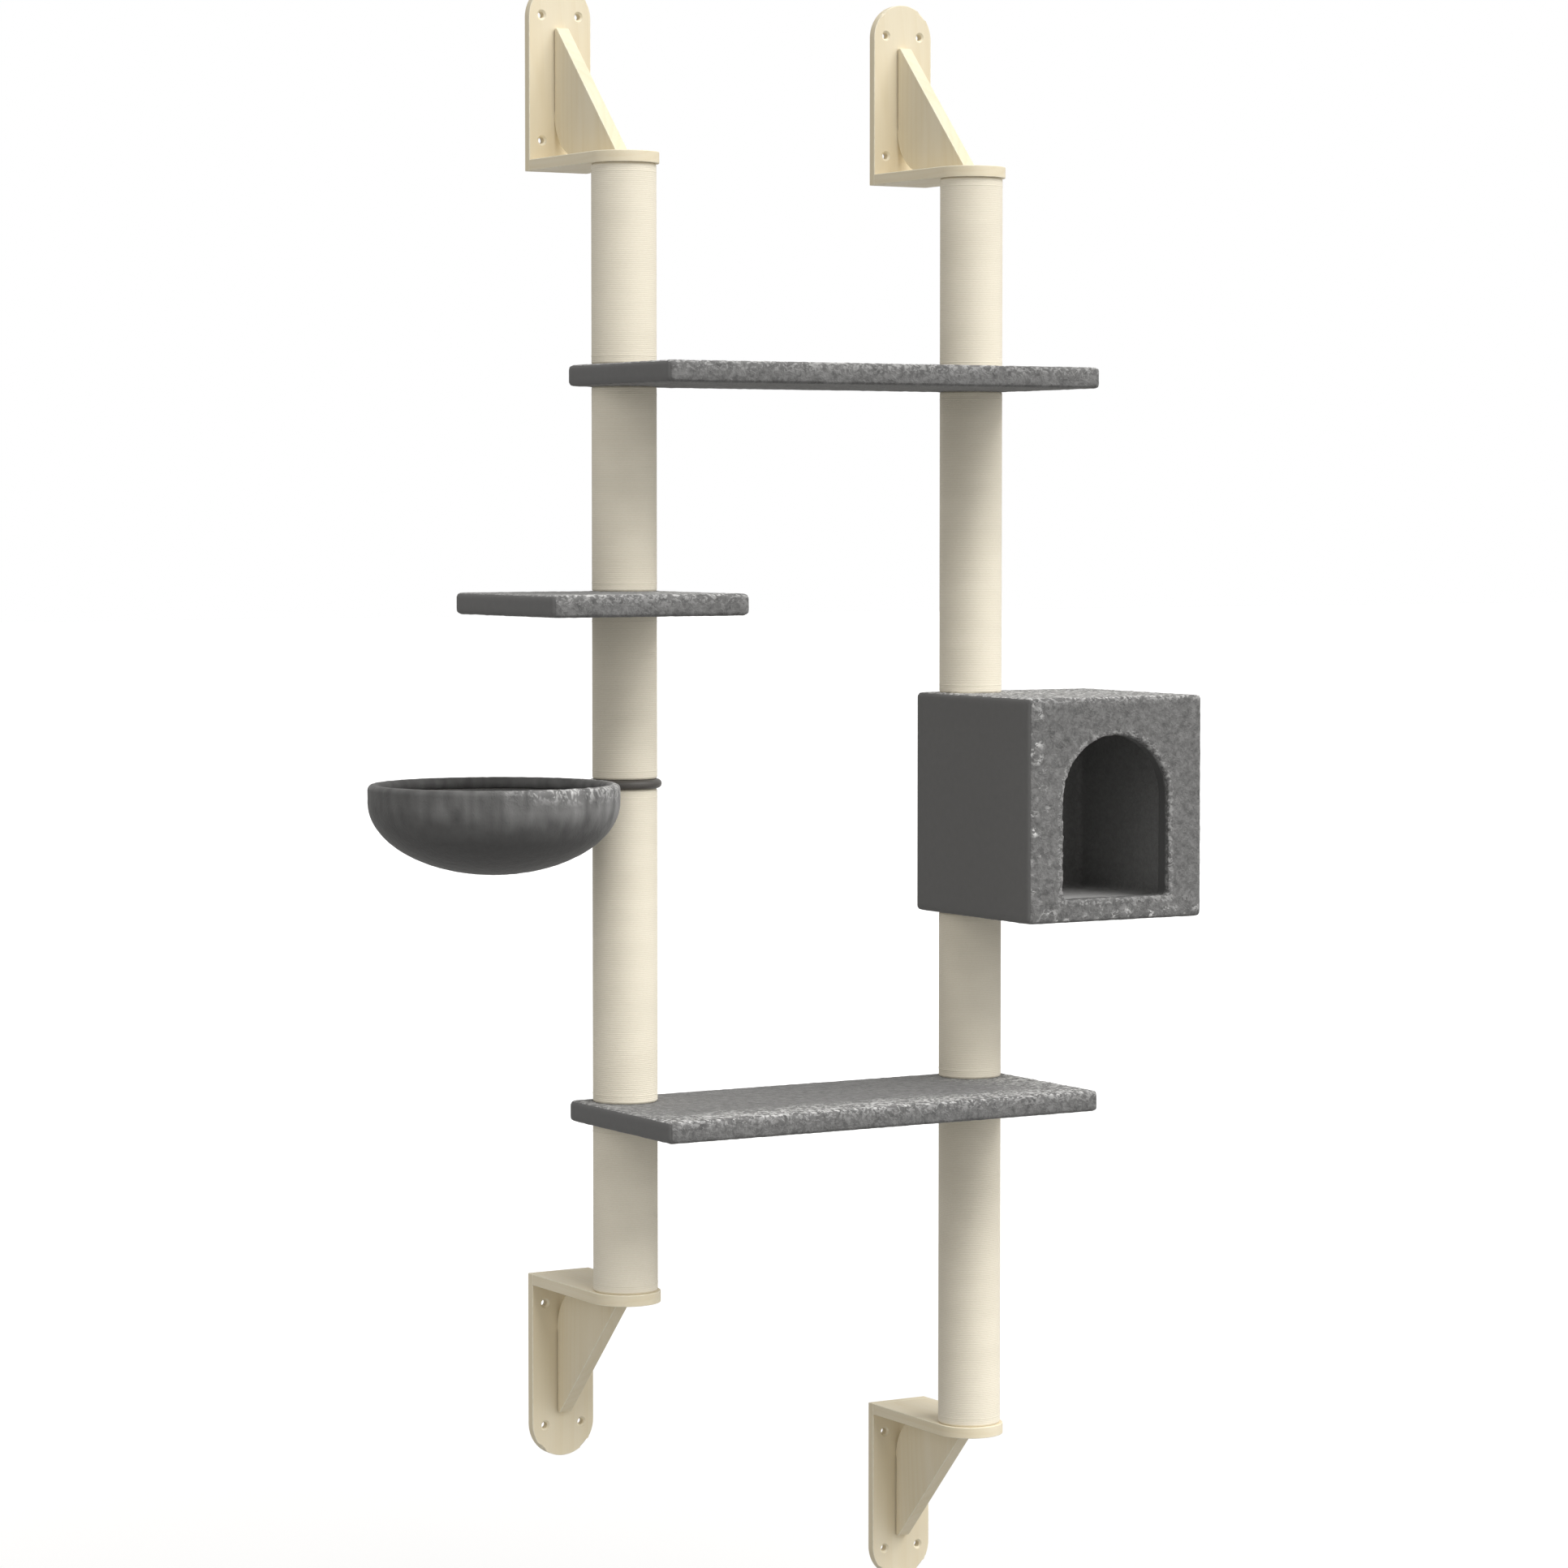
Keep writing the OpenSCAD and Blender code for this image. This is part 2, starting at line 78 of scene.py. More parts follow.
SHARP = math.radians(60)
CREASE = math.radians(40)
WELD = 0.002 * MM
FLUSH = 0.002
EASING_FACETS = 3
CORNER_FACETS = 8
EDGE_FACETS = 5
Socket = bpy.types.NodeSocket
Feed = Socket | float | int | tuple[float, ...]
Shape = bmesh.types.BMesh
Edges = list[bmesh.types.BMEdge]


class Body(Enum):
    """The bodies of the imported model."""

    FRAME = "wall_frame"
    BASKET = "basket"


class Grain(Enum):
    """The way that the fibres of a piece of wood run, as a turn of the pattern."""

    UPRIGHT = (0.0, 0.0, 0.0)
    FORWARD = (math.pi / 2, 0.0, 0.0)


def linear(code: str) -> tuple[float, float, float, float]:
    """Turns a written colour into the one that a shader takes.

    Args:
        code: Six hexadecimal digits, as a screen shows the colour.

    Returns:
        Red, green, blue and alpha in linear light.
    """
    parts = [int(code[i:i + 2], 16) / 255 for i in (0, 2, 4)]
    red, green, blue = (p / 12.92 if p <= 0.04045 else ((p + 0.055) / 1.055) ** 2.4 for p in parts)
    return red, green, blue, 1.0


class Wires:
    """Adds nodes to one node tree and joins them."""

    def __init__(self, tree: bpy.types.NodeTree) -> None:
        """Keeps the tree that the nodes go into."""
        self.tree = tree

    def feed(self, node: bpy.types.Node, feeds: dict[str | int, Feed]) -> bpy.types.Node:
        """Feeds a node's inputs.

        Args:
            node: The node.
            feeds: For each input, by name or number, a socket to link or a value to hold.

        Returns:
            The node.
        """
        for key, value in feeds.items():
            if isinstance(value, Socket):
                self.tree.links.new(value, node.inputs[key])
            else:
                node.inputs[key].default_value = value
        return node

    def add(self, kind: str, feeds: dict[str | int, Feed] | None = None,
            **settings: object) -> bpy.types.Node:
        """Adds a node.

        Args:
            kind: The node's type, without ShaderNode in front.
            feeds: For each input, by name or number, a socket to link or a value to hold.
            **settings: Properties of the node itself.

        Returns:
            The node.
        """
        node = self.tree.nodes.new("ShaderNode" + kind)
        for name, value in settings.items():
            setattr(node, name, value)
        return self.feed(node, feeds or {})

    def math(self, operation: str, a: Feed, b: Feed = 0.0, clamp: bool = False) -> Socket:
        """Adds a calculation on two values and returns its output."""
        return self.add("Math", {0: a, 1: b}, operation=operation, use_clamp=clamp).outputs[0]

    def vector(self, operation: str, feeds: dict[int, Feed]) -> bpy.types.NodeOutputs:
        """Adds a calculation on vectors and returns its outputs."""
        return self.add("VectorMath", feeds, operation=operation).outputs

    def mix(self, a: Feed, share_a: float, b: Feed, share_b: float) -> Socket:
        """Adds a share of one value to a share of another and returns the sum."""
        return self.math("ADD", self.math("MULTIPLY", a, share_a), self.math("MULTIPLY", b, share_b))

    def placed(self, vector: Feed, scale: tuple[float, float, float],
               rotation: tuple[float, float, float] = (0.0, 0.0, 0.0),
               location: tuple[float, float, float] = (0.0, 0.0, 0.0)) -> Socket:
        """Turns, moves and stretches coordinates and returns the new ones."""
        return self.add("Mapping", {"Vector": vector, "Scale": scale, "Rotation": rotation,
                                    "Location": location}).outputs[0]

    def noise(self, vector: Feed, scale: Feed, detail: float = 2.0, distortion: float = 0.0) -> Socket:
        """Adds a noise of the given features per metre and returns its value."""
        feeds = {"Vector": vector, "Scale": scale, "Detail": detail, "Distortion": distortion}
        return self.add("TexNoise", feeds).outputs[0]

    def band(self, value: Feed, low: Feed, high: Feed, to_low: Feed = 0.0, to_high: Feed = 1.0) -> Socket:
        """Maps a range of a value smoothly onto another range and returns it."""
        return self.add("MapRange", {0: value, 1: low, 2: high, 3: to_low, 4: to_high},
                        interpolation_type="SMOOTHSTEP").outputs[0]

    def blend(self, share: Feed, first: Socket | str, second: Socket | str) -> Socket:
        """Mixes two colours, each a socket or written as on a screen, by a share and returns the mix."""
        first, second = (linear(colour) if isinstance(colour, str) else colour for colour in (first, second))
        return self.add("Mix", {0: share, 6: first, 7: second}, data_type="RGBA").outputs[2]

    def attribute(self, name: str) -> Socket:
        """Reads a value that the mesh carries and returns it."""
        return self.add("Attribute", attribute_name=name).outputs["Fac"]

    def group(self, effect: bpy.types.NodeTree, feeds: dict[str | int, Feed]) -> bpy.types.NodeOutputs:
        """Places a shared effect, feeds its inputs and returns its outputs by name."""
        return self.feed(self.add("Group", node_tree=effect), feeds).outputs


def fresh(owner: bpy.types.Material | bpy.types.World) -> Wires:
    """Empties the node tree of a material or world and returns its wires."""
    owner.use_nodes = True
    owner.node_tree.nodes.clear()
    return Wires(owner.node_tree)


def added(name: str, data: bpy.types.ID) -> bpy.types.Object:
    """Puts a mesh, lamp or camera into the scene as a new object and returns it."""
    item = bpy.data.objects.new(name, data)
    bpy.context.scene.collection.objects.link(item)
    return item


class Effects:
    """The patterns that several finishes share, each a node group built once."""

    def __init__(self) -> None:
        """Builds every shared pattern."""
        self.grain = self._wood_grain()
        self.pile = self._plush_pile()
        self.wear = self._edge_wear()
        self.grit = self._grit()

    @staticmethod
    def _open(name: str, values: dict[str, float],
              outputs: tuple[str, ...]) -> tuple[Wires, bpy.types.Node, bpy.types.Node]:
        """Starts a node group that takes coordinates and some values.

        Args:
            name: The group's name.
            values: Each further input and what it holds where nothing feeds it.
            outputs: The names of the values that the group gives.

        Returns:
            The group's wires, the node with its inputs, and the node with its outputs.
        """
        tree = bpy.data.node_groups.new(name, "ShaderNodeTree")
        tree.interface.new_socket(name="Vector", in_out="INPUT", socket_type="NodeSocketVector")
        for label, value in values.items():
            socket = tree.interface.new_socket(name=label, in_out="INPUT", socket_type="NodeSocketFloat")
            socket.default_value = value
        for label in outputs:
            tree.interface.new_socket(name=label, in_out="OUTPUT", socket_type="NodeSocketFloat")
        return Wires(tree), tree.nodes.new("NodeGroupInput"), tree.nodes.new("NodeGroupOutput")

    def _wood_grain(self) -> bpy.types.NodeTree:
        """Builds growth rings and fibres that run along the third axis of the coordinates.

        Returns:
            The group, with outputs Late for the dark part of each ring, Fibre for fine streaks, and Cloud.
        """
        wires, given, target = self._open("Wood grain", {"Rings": 120.0}, ("Late", "Fibre", "Cloud"))
        place = given.outputs["Vector"]
        wide = wires.placed(place, (6.0, 6.0, 2.2))
        drift = wires.add("TexNoise", {"Vector": wide, "Scale": 1.0, "Detail": 1.0}).outputs[1]
        shift = wires.vector("MULTIPLY", {0: drift, 1: (0.05, 0.05, 0.0)})[0]
        bent = wires.vector("ADD", {0: place, 1: shift})[0]
        log = wires.placed(bent, (1.0, 1.0, 0.02), (0.05, 0.03, 0.0))
        radius = wires.vector("LENGTH", {0: log})[1]
        wobble = wires.math("MULTIPLY", wires.noise(wires.placed(place, (60.0, 60.0, 4.0)), 1.0, 2.0), 0.8)
        turns = wires.math("ADD", wires.math("MULTIPLY", radius, given.outputs["Rings"]), wobble)
        saw = wires.math("FRACT", turns)
        late = wires.math("MULTIPLY", wires.band(saw, 0.3, 0.88), wires.band(saw, 1.0, 0.92))
        fibre = wires.noise(wires.placed(place, (520.0, 520.0, 9.0)), 1.0, 3.0)
        cloud = wires.noise(wires.placed(place, (22.0, 22.0, 5.0)), 1.0, 2.0)
        wires.feed(target, {"Late": late, "Fibre": fibre, "Cloud": cloud})
        return wires.tree

    def _plush_pile(self) -> bpy.types.NodeTree:
        """Builds short curly strands over a fine pile.

        Returns:
            The group, with outputs Strands and Shade from 0 to 1, and Height.
        """
        wires, given, target = self._open("Plush pile", {"Curl": 105.0, "Strand": 0.05},
                                          ("Strands", "Shade", "Height"))
        place = given.outputs["Vector"]
        lines: list[Socket] = []
        for number, offset in enumerate((0.0, 3.7, 8.1)):
            turned = (0.4 * number, 0.9 * number, 0.0)
            moved = wires.placed(place, (1.0, 1.0, 1.25), turned, (offset, offset, offset))
            curl = wires.math("MULTIPLY", given.outputs["Curl"], 1.0 + 0.35 * number)
            far = wires.math("ABSOLUTE", wires.math("SUBTRACT", wires.noise(moved, curl, 1.0, 0.9), 0.5))
            line = wires.band(far, given.outputs["Strand"], 0.0)
            cut = wires.band(wires.noise(moved, 120.0 + 35.0 * number, 1.0), 0.50, 0.60)
            lines.append(wires.math("MULTIPLY", line, cut))
        strands = wires.math("MAXIMUM", wires.math("MAXIMUM", lines[0], lines[1]), lines[2])
        fine = wires.noise(place, 1200.0, 2.0)
        nubs = wires.noise(place, 380.0, 2.0)
        waves = wires.noise(place, 135.0, 2.0, 1.4)
        shade = wires.band(waves, 0.40, 0.60)
        height = wires.math("ADD", wires.mix(fine, 0.1, nubs, 0.22), wires.mix(strands, 0.3, waves, 0.7))
        wires.feed(target, {"Strands": strands, "Shade": shade, "Height": height})
        return wires.tree

    def _edge_wear(self) -> bpy.types.NodeTree:
        """Builds a broken mask along the eased edges, which carry the value edge_wear_and_joint_shade.

        Returns:
            The group, with output Mask from 0 to 1.
        """
        wires, given, target = self._open("Edge wear", {"Amount": 0.6}, ("Mask",))
        broken = wires.band(wires.noise(given.outputs["Vector"], 160.0, 3.0), 0.35, 0.65, 0.4, 1.0)
        edge = wires.math("MULTIPLY", wires.attribute("edge_wear_and_joint_shade"), broken)
        wires.feed(target, {"Mask": wires.math("MULTIPLY", edge, given.outputs["Amount"])})
        return wires.tree

    def _grit(self) -> bpy.types.NodeTree:
        """Builds the fine uneven surface of board, card, foam, paint and metal.

        Returns:
            The group, with outputs Fleck and Height from 0 to 1.
        """
        wires, given, target = self._open("Grit", {"Size": 600.0, "Blotch": 20.0}, ("Fleck", "Height"))
        place = given.outputs["Vector"]
        fine = wires.noise(place, given.outputs["Size"], 3.0)
        wide = wires.noise(place, given.outputs["Blotch"], 2.0)
        mixed = wires.mix(fine, 0.6, wide, 0.4)
        wires.feed(target, {"Fleck": wires.band(mixed, 0.3, 0.7), "Height": fine})
        return wires.tree


@dataclass(frozen=True)
class Finish:
    """What every finish has: a name, and the shared patterns that it draws on."""

    name: str
    effects: Effects

    def start(self, **constants: float | tuple[float, ...]) -> tuple[bpy.types.Material, Wires, Socket]:
        """Starts a material with one shader.

        Args:
            **constants: Values of the shader, with underscores for the spaces in their names.

        Returns:
            The material, its wires, and the piece's own coordinates.
        """
        material = bpy.data.materials.new(self.name)
        wires = fresh(material)
        feeds = {key.replace("_", " "): value for key, value in constants.items()}
        shader = wires.add("BsdfPrincipled", feeds, name="Shader")
        wires.add("OutputMaterial", {"Surface": shader.outputs[0]})
        return material, wires, wires.add("TexCoord").outputs["Object"]

    @staticmethod
    def close(wires: Wires, colour: Feed, roughness: Feed, height: Feed, relief: float) -> None:
        """Feeds the shader.

        Args:
            wires: The material's wires.
            colour: The base colour.
            roughness: The roughness.
            height: The bump's height, about 0 to 1.
            relief: How high 1 is, in metres.
        """
        bump = wires.add("Bump", {"Strength": 1.0, "Distance": relief, "Height": height})
        wires.feed(wires.tree.nodes["Shader"], {"Base Color": colour, "Roughness": roughness,
                                                "Normal": bump.outputs[0]})


@dataclass(frozen=True)
class Pine(Finish):
    """Sanded pale wood, bare, with slight wear on its eased edges and painted shade in the grooves where
    parts meet.
    """

    turn: Grain = Grain.UPRIGHT
    early: str = "E9DEC3"
    late: str = "DDCCA6"
    wear_and_painted_light: str = "FAF5E2"
    cloudy: str = "F3EBD8"
    # Colour painted into the groove where a gusset meets its wall plate, as shade.
    joint_shade: str = "97875F"

    def make(self) -> bpy.types.Material:
        """Builds the material and returns it."""
        material, wires, place = self.start(Specular_IOR_Level=0.32)
        near = wires.vector("WRAP", {0: place, 1: (0.25, 9.0, 9.0), 2: (-0.25, -9.0, -9.0)})[0]
        laid = wires.placed(near, (1.0, 1.0, 1.0), self.turn.value, (0.013, 0.085, 0.0))
        grain = wires.group(self.effects.grain, {"Vector": laid, "Rings": 105.0})
        wear = wires.group(self.effects.wear, {"Vector": place, "Amount": 0.75})["Mask"]
        ringed = wires.blend(wires.math("MULTIPLY", grain["Late"], 0.2), self.early, self.late)
        streaked = wires.blend(wires.band(grain["Fibre"], 0.35, 0.75, 0.0, 0.1), ringed, self.late)
        clouded = wires.blend(wires.band(grain["Cloud"], 0.35, 0.75, 0.0, 0.35), streaked, self.cloudy)
        # Marks below 0 paint the groove dark as shade.
        joint_shade = wires.math("MULTIPLY", wires.attribute("edge_wear_and_joint_shade"), -0.8, True)
        colour = wires.blend(joint_shade, wires.blend(wear, clouded, self.wear_and_painted_light), self.joint_shade)
        roughness = wires.band(grain["Fibre"], 0.3, 0.7, 0.52, 0.66)
        height = wires.mix(grain["Fibre"], 0.7, grain["Late"], 0.3)
        self.close(wires, colour, roughness, height, 0.05 * MM)
        return material


@dataclass(frozen=True)
class Sisal(Finish):
    """Fine cream sisal cord wound level round a post, with painted shade in the grooves between its turns;
    the mesh carries rib, 1 on the crown of each turn.
    """

    light: str = "F6EFDE"
    calm: str = "F1EAD9"
    thread: str = "D9CDB0"
    # Colour painted into the grooves between the turns as shade.
    between: str = "CDC09F"

    def make(self) -> bpy.types.Material:
        """Builds the material and returns it."""
        material, wires, place = self.start(Specular_IOR_Level=0.25, Sheen_Weight=0.12, Sheen_Roughness=0.5)
        around = wires.add("UVMap", uv_map="winding").outputs[0]
        strand = wires.noise(wires.placed(around, (260.0, 1500.0, 1.0), (0.0, 0.0, 0.18)), 1.0, 2.0)
        hair = wires.noise(wires.placed(around, (90.0, 2600.0, 1.0)), 1.0, 2.0)
        patch = wires.noise(wires.placed(place, (9.0, 9.0, 26.0)), 1.0, 2.0)
        base = wires.blend(wires.band(patch, 0.3, 0.7), self.light, self.calm)
        dark = wires.math("MULTIPLY", wires.band(strand, 0.42, 0.7), 0.18)
        threads = wires.blend(dark, base, self.thread)
        # The grooves between the turns are painted darker as shade.
        gap = wires.band(wires.attribute("rib"), 0.55, 0.0, 0.0, 0.25)
        colour = wires.blend(gap, threads, self.between)
        height = wires.mix(strand, 0.6, hair, 0.4)
        self.close(wires, colour, wires.band(hair, 0.3, 0.7, 0.78, 0.9), height, 0.25 * MM)
        return material


@dataclass(frozen=True)
class Plush(Finish):
    """Short curly pile.

    The mesh carries tuft, 1 where the pile stands up (on the basket a painted highlight on its side towards
    the lamps); a value for painted light, 1 where light strands are painted as a highlight and below 0 where
    the tone is painted darker as shade; and inside, where the turned colour is painted.
    """

    ground: str = "696969"
    deep: str = "585858"
    # Colour of the light strands painted as highlights, and of raised pile.
    highlight_tip: str = "D8D8D8"
    # Colour painted where inside is 1: painted shade in the doorway's reveal, painted light on the cabin
    # floor.
    turned: str = "585858"
    lay: tuple[float, float, float] = (1.0, 1.0, 1.0)

    def make(self) -> bpy.types.Material:
        """Builds the material and returns it."""
        material, wires, place = self.start(Specular_IOR_Level=0.15, Sheen_Weight=0.22, Sheen_Roughness=0.4)
        laid = wires.placed(place, self.lay)
        pile = wires.group(self.effects.pile, {"Vector": laid, "Curl": 55.0, "Strand": 0.13})
        wear_and_painted_light = wires.attribute("painted_pile_light")
        # Where painted shade is marked, the pattern is calmed and the tone drawn towards the deep colour.
        lively = wires.band(wear_and_painted_light, -0.5, 0.0)
        shade = wires.band(wear_and_painted_light, -0.5, 0.0, 0.6, wires.math("SUBTRACT", 1.0, pile["Shade"]))
        ground = wires.blend(shade, self.ground, self.deep)
        # tuft tints the pile lighter; on the basket this is a painted highlight.
        raised = wires.blend(wires.math("MULTIPLY", wires.attribute("tuft"), 0.15), ground, self.highlight_tip)
        # Light strands are painted as a highlight where the mesh marks painted light.
        painted_pile_light = wires.math("ADD", wires.math("MULTIPLY", wear_and_painted_light, 0.85), 0.06, True)
        lit = wires.math("MULTIPLY", pile["Strands"], painted_pile_light)
        open_colour = wires.blend(lit, raised, self.highlight_tip)
        # inside paints the turned colour: painted shade in the doorway's reveal, painted light on the cabin
        # floor.
        colour = wires.blend(wires.attribute("inside"), open_colour, self.turned)
        standing = wires.math("ADD", wires.math("MULTIPLY", lively, 0.92), 0.08)
        height = wires.math("MULTIPLY", pile["Height"], standing)
        self.close(wires, colour, wires.band(lit, 0.0, 0.9, 0.92, 0.6), height, 0.9 * MM)
        return material


@dataclass(frozen=True)
class Fine(Finish):
    """A plain material with a fine uneven surface, for board, card, foam, paint and metal."""

    light: str = "808080"
    dark: str = "707070"
    size: float = 600.0
    blotch: float = 20.0
    rough: tuple[float, float] = (0.5, 0.6)
    metallic: float = 0.0
    relief: float = 0.05 * MM
    stretch: tuple[float, float, float] = (1.0, 1.0, 1.0)
    wear: float = 0.0
    wear_and_painted_light: str = "B0B0B0"

    def make(self) -> bpy.types.Material:
        """Builds the material and returns it."""
        material, wires, place = self.start(Metallic=self.metallic, Specular_IOR_Level=0.4)
        grit = wires.group(self.effects.grit, {"Vector": wires.placed(place, self.stretch), "Size": self.size,
                                               "Blotch": self.blotch})
        colour = wires.blend(grit["Fleck"], self.dark, self.light)
        if self.wear:
            mask = wires.group(self.effects.wear, {"Vector": place, "Amount": self.wear})["Mask"]
            colour = wires.blend(mask, colour, self.wear_and_painted_light)
        roughness = wires.band(grit["Fleck"], 0.0, 1.0, *self.rough)
        self.close(wires, colour, roughness, grit["Height"], self.relief)
        return material


class Finishes:
    """Every finish of the tree, made once."""

    def __init__(self) -> None:
        """Builds the materials."""
        fx = Effects()
        self.pine_upright = Pine("Pine upright", fx).make()
        self.pine_forward = Pine("Pine forward", fx, turn=Grain.FORWARD).make()
        self.sisal = Sisal("Sisal", fx).make()
        self.plush = Plush("Plush", fx).make()
        self.house_plush = Plush("House plush", fx).make()
        self.basket_plush = Plush("Basket plush", fx, ground="595959", deep="535353",
                                  lay=(1.0, 1.0, 0.6)).make()
        self.lining = Plush("Lining", fx, ground="767676", deep="6E6E6E", highlight_tip="8C8C8C").make()
        # The cabin lining is painted lighter than the plush, as light in the dim cabin, and its floor lighter
        # still, as a pool of light.
        self.lit_cabin_lining = Plush("Cabin lining", fx, ground="969696", deep="8E8E8E", highlight_tip="AAAAAA",
                                  turned="C4C4C4").make()
        self.collar = Fine("Smooth dark collar", fx, "53504C", "4A4744", 900.0, 30.0, (0.42, 0.55), wear=0.3,
                           wear_and_painted_light="6C6966").make()
        self.cardboard = Fine("Wound cardboard", fx, "C3A077", "AB8860", 500.0, 40.0, (0.8, 0.9),
                              relief=0.1 * MM, stretch=(0.3, 0.3, 1.6)).make()
        self.fibreboard = Fine("Fibreboard", fx, "C9AD82", "B3956B", 900.0, 60.0, (0.75, 0.88),
                               relief=0.08 * MM).make()
        self.plug_wood = Fine("Turned plug wood", fx, "CDAE7F", "B18F5F", 500.0, 30.0, (0.6, 0.75),
                              relief=0.1 * MM, stretch=(1.0, 1.0, 0.12)).make()
        self.foam = Fine("Foam", fx, "D9D6CC", "BDB9AD", 420.0, 25.0, (0.9, 0.97), relief=0.5 * MM).make()
        self.steel = Fine("Zinc plated steel", fx, "C4C7C9", "A9ACAF", 700.0, 90.0, (0.25, 0.4), 1.0,
                          0.02 * MM).make()
        self.hoop_paint = Fine("Painted hoop", fx, "4A4A4C", "3F3F41", 900.0, 40.0, (0.35, 0.45),
                               relief=0.02 * MM).make()
        self.brass = Fine("Brass", fx, "C9A95B", "B0903F", 700.0, 60.0, (0.28, 0.42), 1.0, 0.02 * MM).make()


def dress(frame: dict, node: str, finish: bpy.types.Material) -> None:
    """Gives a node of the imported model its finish."""
    materials = frame["nodes"][node].data.materials
    materials.clear()
    materials.append(finish)


def merged(node: bpy.types.Object) -> Shape:
    """Copies a node's loose triangles into one closed shape of whole flat faces.

    Args:
        node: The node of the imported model, which stays as it is.

    Returns:
        The copy.
    """
    shape = bmesh.new()
    shape.from_mesh(node.data)
    bmesh.ops.remove_doubles(shape, verts=shape.verts, dist=WELD)
    bmesh.ops.dissolve_limit(shape, angle_limit=FLUSH, verts=shape.verts, edges=shape.edges)
    return shape


def published(shape: Shape, name: str, finish: bpy.types.Material, body: Body,
              nodes: tuple[str, ...] = ()) -> bpy.types.Object:
    """Makes a shape a piece of the tree.

    Args:
        shape: The shape, which is used up.
        name: The piece's name.
        finish: Its material.
        body: The body that it rides on.
        nodes: The nodes that it stands for.

    Returns:
        The piece.
    """
    mesh = bpy.data.meshes.new(name)
    shape.to_mesh(mesh)
    shape.free()
    mesh.shade_smooth()
    mesh.materials.append(finish)
    piece = added(name, mesh)
    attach(piece, body.value)
    if nodes:
        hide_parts(*nodes)
    return piece


def cut_back(shape: Shape, edges: Edges, reach: float, facets: int,
             clamp: bool) -> list[bmesh.types.BMFace]:
    """Takes edges off by a distance, in a number of facets, and returns the new faces."""
    return bmesh.ops.bevel(shape, geom=edges, affect="EDGES", offset=reach, offset_type="OFFSET",
                           segments=facets, profile=0.5, material=-1, clamp_overlap=clamp,
                           loop_slide=False)["faces"]


def wear_off(shape: Shape, edges: Edges, reach: float, facets: int, mark: float) -> None:
    """Cuts edges back and marks the new faces that bear no mark yet: above 0 for wear, below 0 for a groove
    painted dark as shade.
    """
    wear = shape.loops.layers.float["edge_wear_and_joint_shade"]
    for face in cut_back(shape, edges, reach, facets, False):
        for corner in face.loops:
            corner[wear] = corner[wear] or mark


def eased(frame: dict, node: str, finish: bpy.types.Material, body: Body, width: float = 0.9 * MM,
          wide: Callable[[Shape], tuple[Edges, float, float]] | None = None) -> bpy.types.Object:
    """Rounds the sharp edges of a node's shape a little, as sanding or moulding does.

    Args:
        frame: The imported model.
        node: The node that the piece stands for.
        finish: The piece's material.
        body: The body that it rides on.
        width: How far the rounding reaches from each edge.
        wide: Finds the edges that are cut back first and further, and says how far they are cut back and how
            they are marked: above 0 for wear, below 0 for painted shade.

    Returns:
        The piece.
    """
    shape = merged(frame["nodes"][node])
    shape.loops.layers.float.new("edge_wear_and_joint_shade")
    if wide:
        edges, reach, mark = wide(shape)
        wear_off(shape, edges, reach, 1, mark)
    sharp = [e for e in shape.edges if len(e.link_faces) == 2 and e.calc_face_angle(0.0) > SHARP]
    wear_off(shape, sharp, width, EASING_FACETS, 1.0)
    for edge in shape.edges:
        edge.smooth = not edge.is_manifold or edge.calc_face_angle(0.0) < CREASE
    piece = published(shape, node + "_eased", finish, body, (node,))
    evened = piece.modifiers.new("Even shading", "WEIGHTED_NORMAL")
    evened.keep_sharp = True
    return piece


def carved(shape: Shape, cutters: tuple[Shape, ...], grid: float) -> Shape:
    """Cuts shapes out of a block and remakes it from even small squares.

    Args:
        shape: The block, which is used up.
        cutters: Closed shapes to cut away, which are used up.
        grid: The size of the squares.

    Returns:
        The new shape.
    """
    spare: list[bpy.types.Object] = []
    for part in (shape, *cutters):
        mesh = bpy.data.meshes.new("spare")
        part.to_mesh(mesh)
        part.free()
        spare.append(added("spare", mesh))
    for cutter in spare[1:]:
        cut = spare[0].modifiers.new("Cut", "BOOLEAN")
        cut.operation = "DIFFERENCE"
        cut.object = cutter
        cut.solver = "EXACT"
    squares = spare[0].modifiers.new("Squares", "REMESH")
    squares.mode = "VOXEL"
    squares.voxel_size = grid
    made = spare[0].evaluated_get(bpy.context.evaluated_depsgraph_get())
    result = bmesh.new()
    result.from_mesh(made.to_mesh())
    made.to_mesh_clear()
    for part in spare:
        mesh = part.data
        bpy.data.objects.remove(part)
        bpy.data.meshes.remove(mesh)
    return result


def padded_block(low: Vector, high: Vector, corner: float, edge: float) -> Shape:
    """Makes a box with rounded upright corners and softly rounded edges.

    Args:
        low: Its lowest corner.
        high: Its highest corner.
        corner: The radius of the upright corners.
        edge: The radius of the edges round the top and bottom.

    Returns:
        The block.
    """
    block = bmesh.new()
    bmesh.ops.create_cube(block, size=1.0)
    bmesh.ops.scale(block, vec=high - low, verts=block.verts)
    bmesh.ops.translate(block, vec=(low + high) / 2, verts=block.verts)
    upright = [e for e in block.edges if abs(e.verts[0].co.z - e.verts[1].co.z) > MM]
    cut_back(block, upright, corner, CORNER_FACETS, True)
    level = [e for e in block.edges
             if abs(e.verts[0].co.z - e.verts[1].co.z) < MM and e.calc_face_angle(0.0) > SHARP]
    cut_back(block, level, edge, EDGE_FACETS, True)
    return block


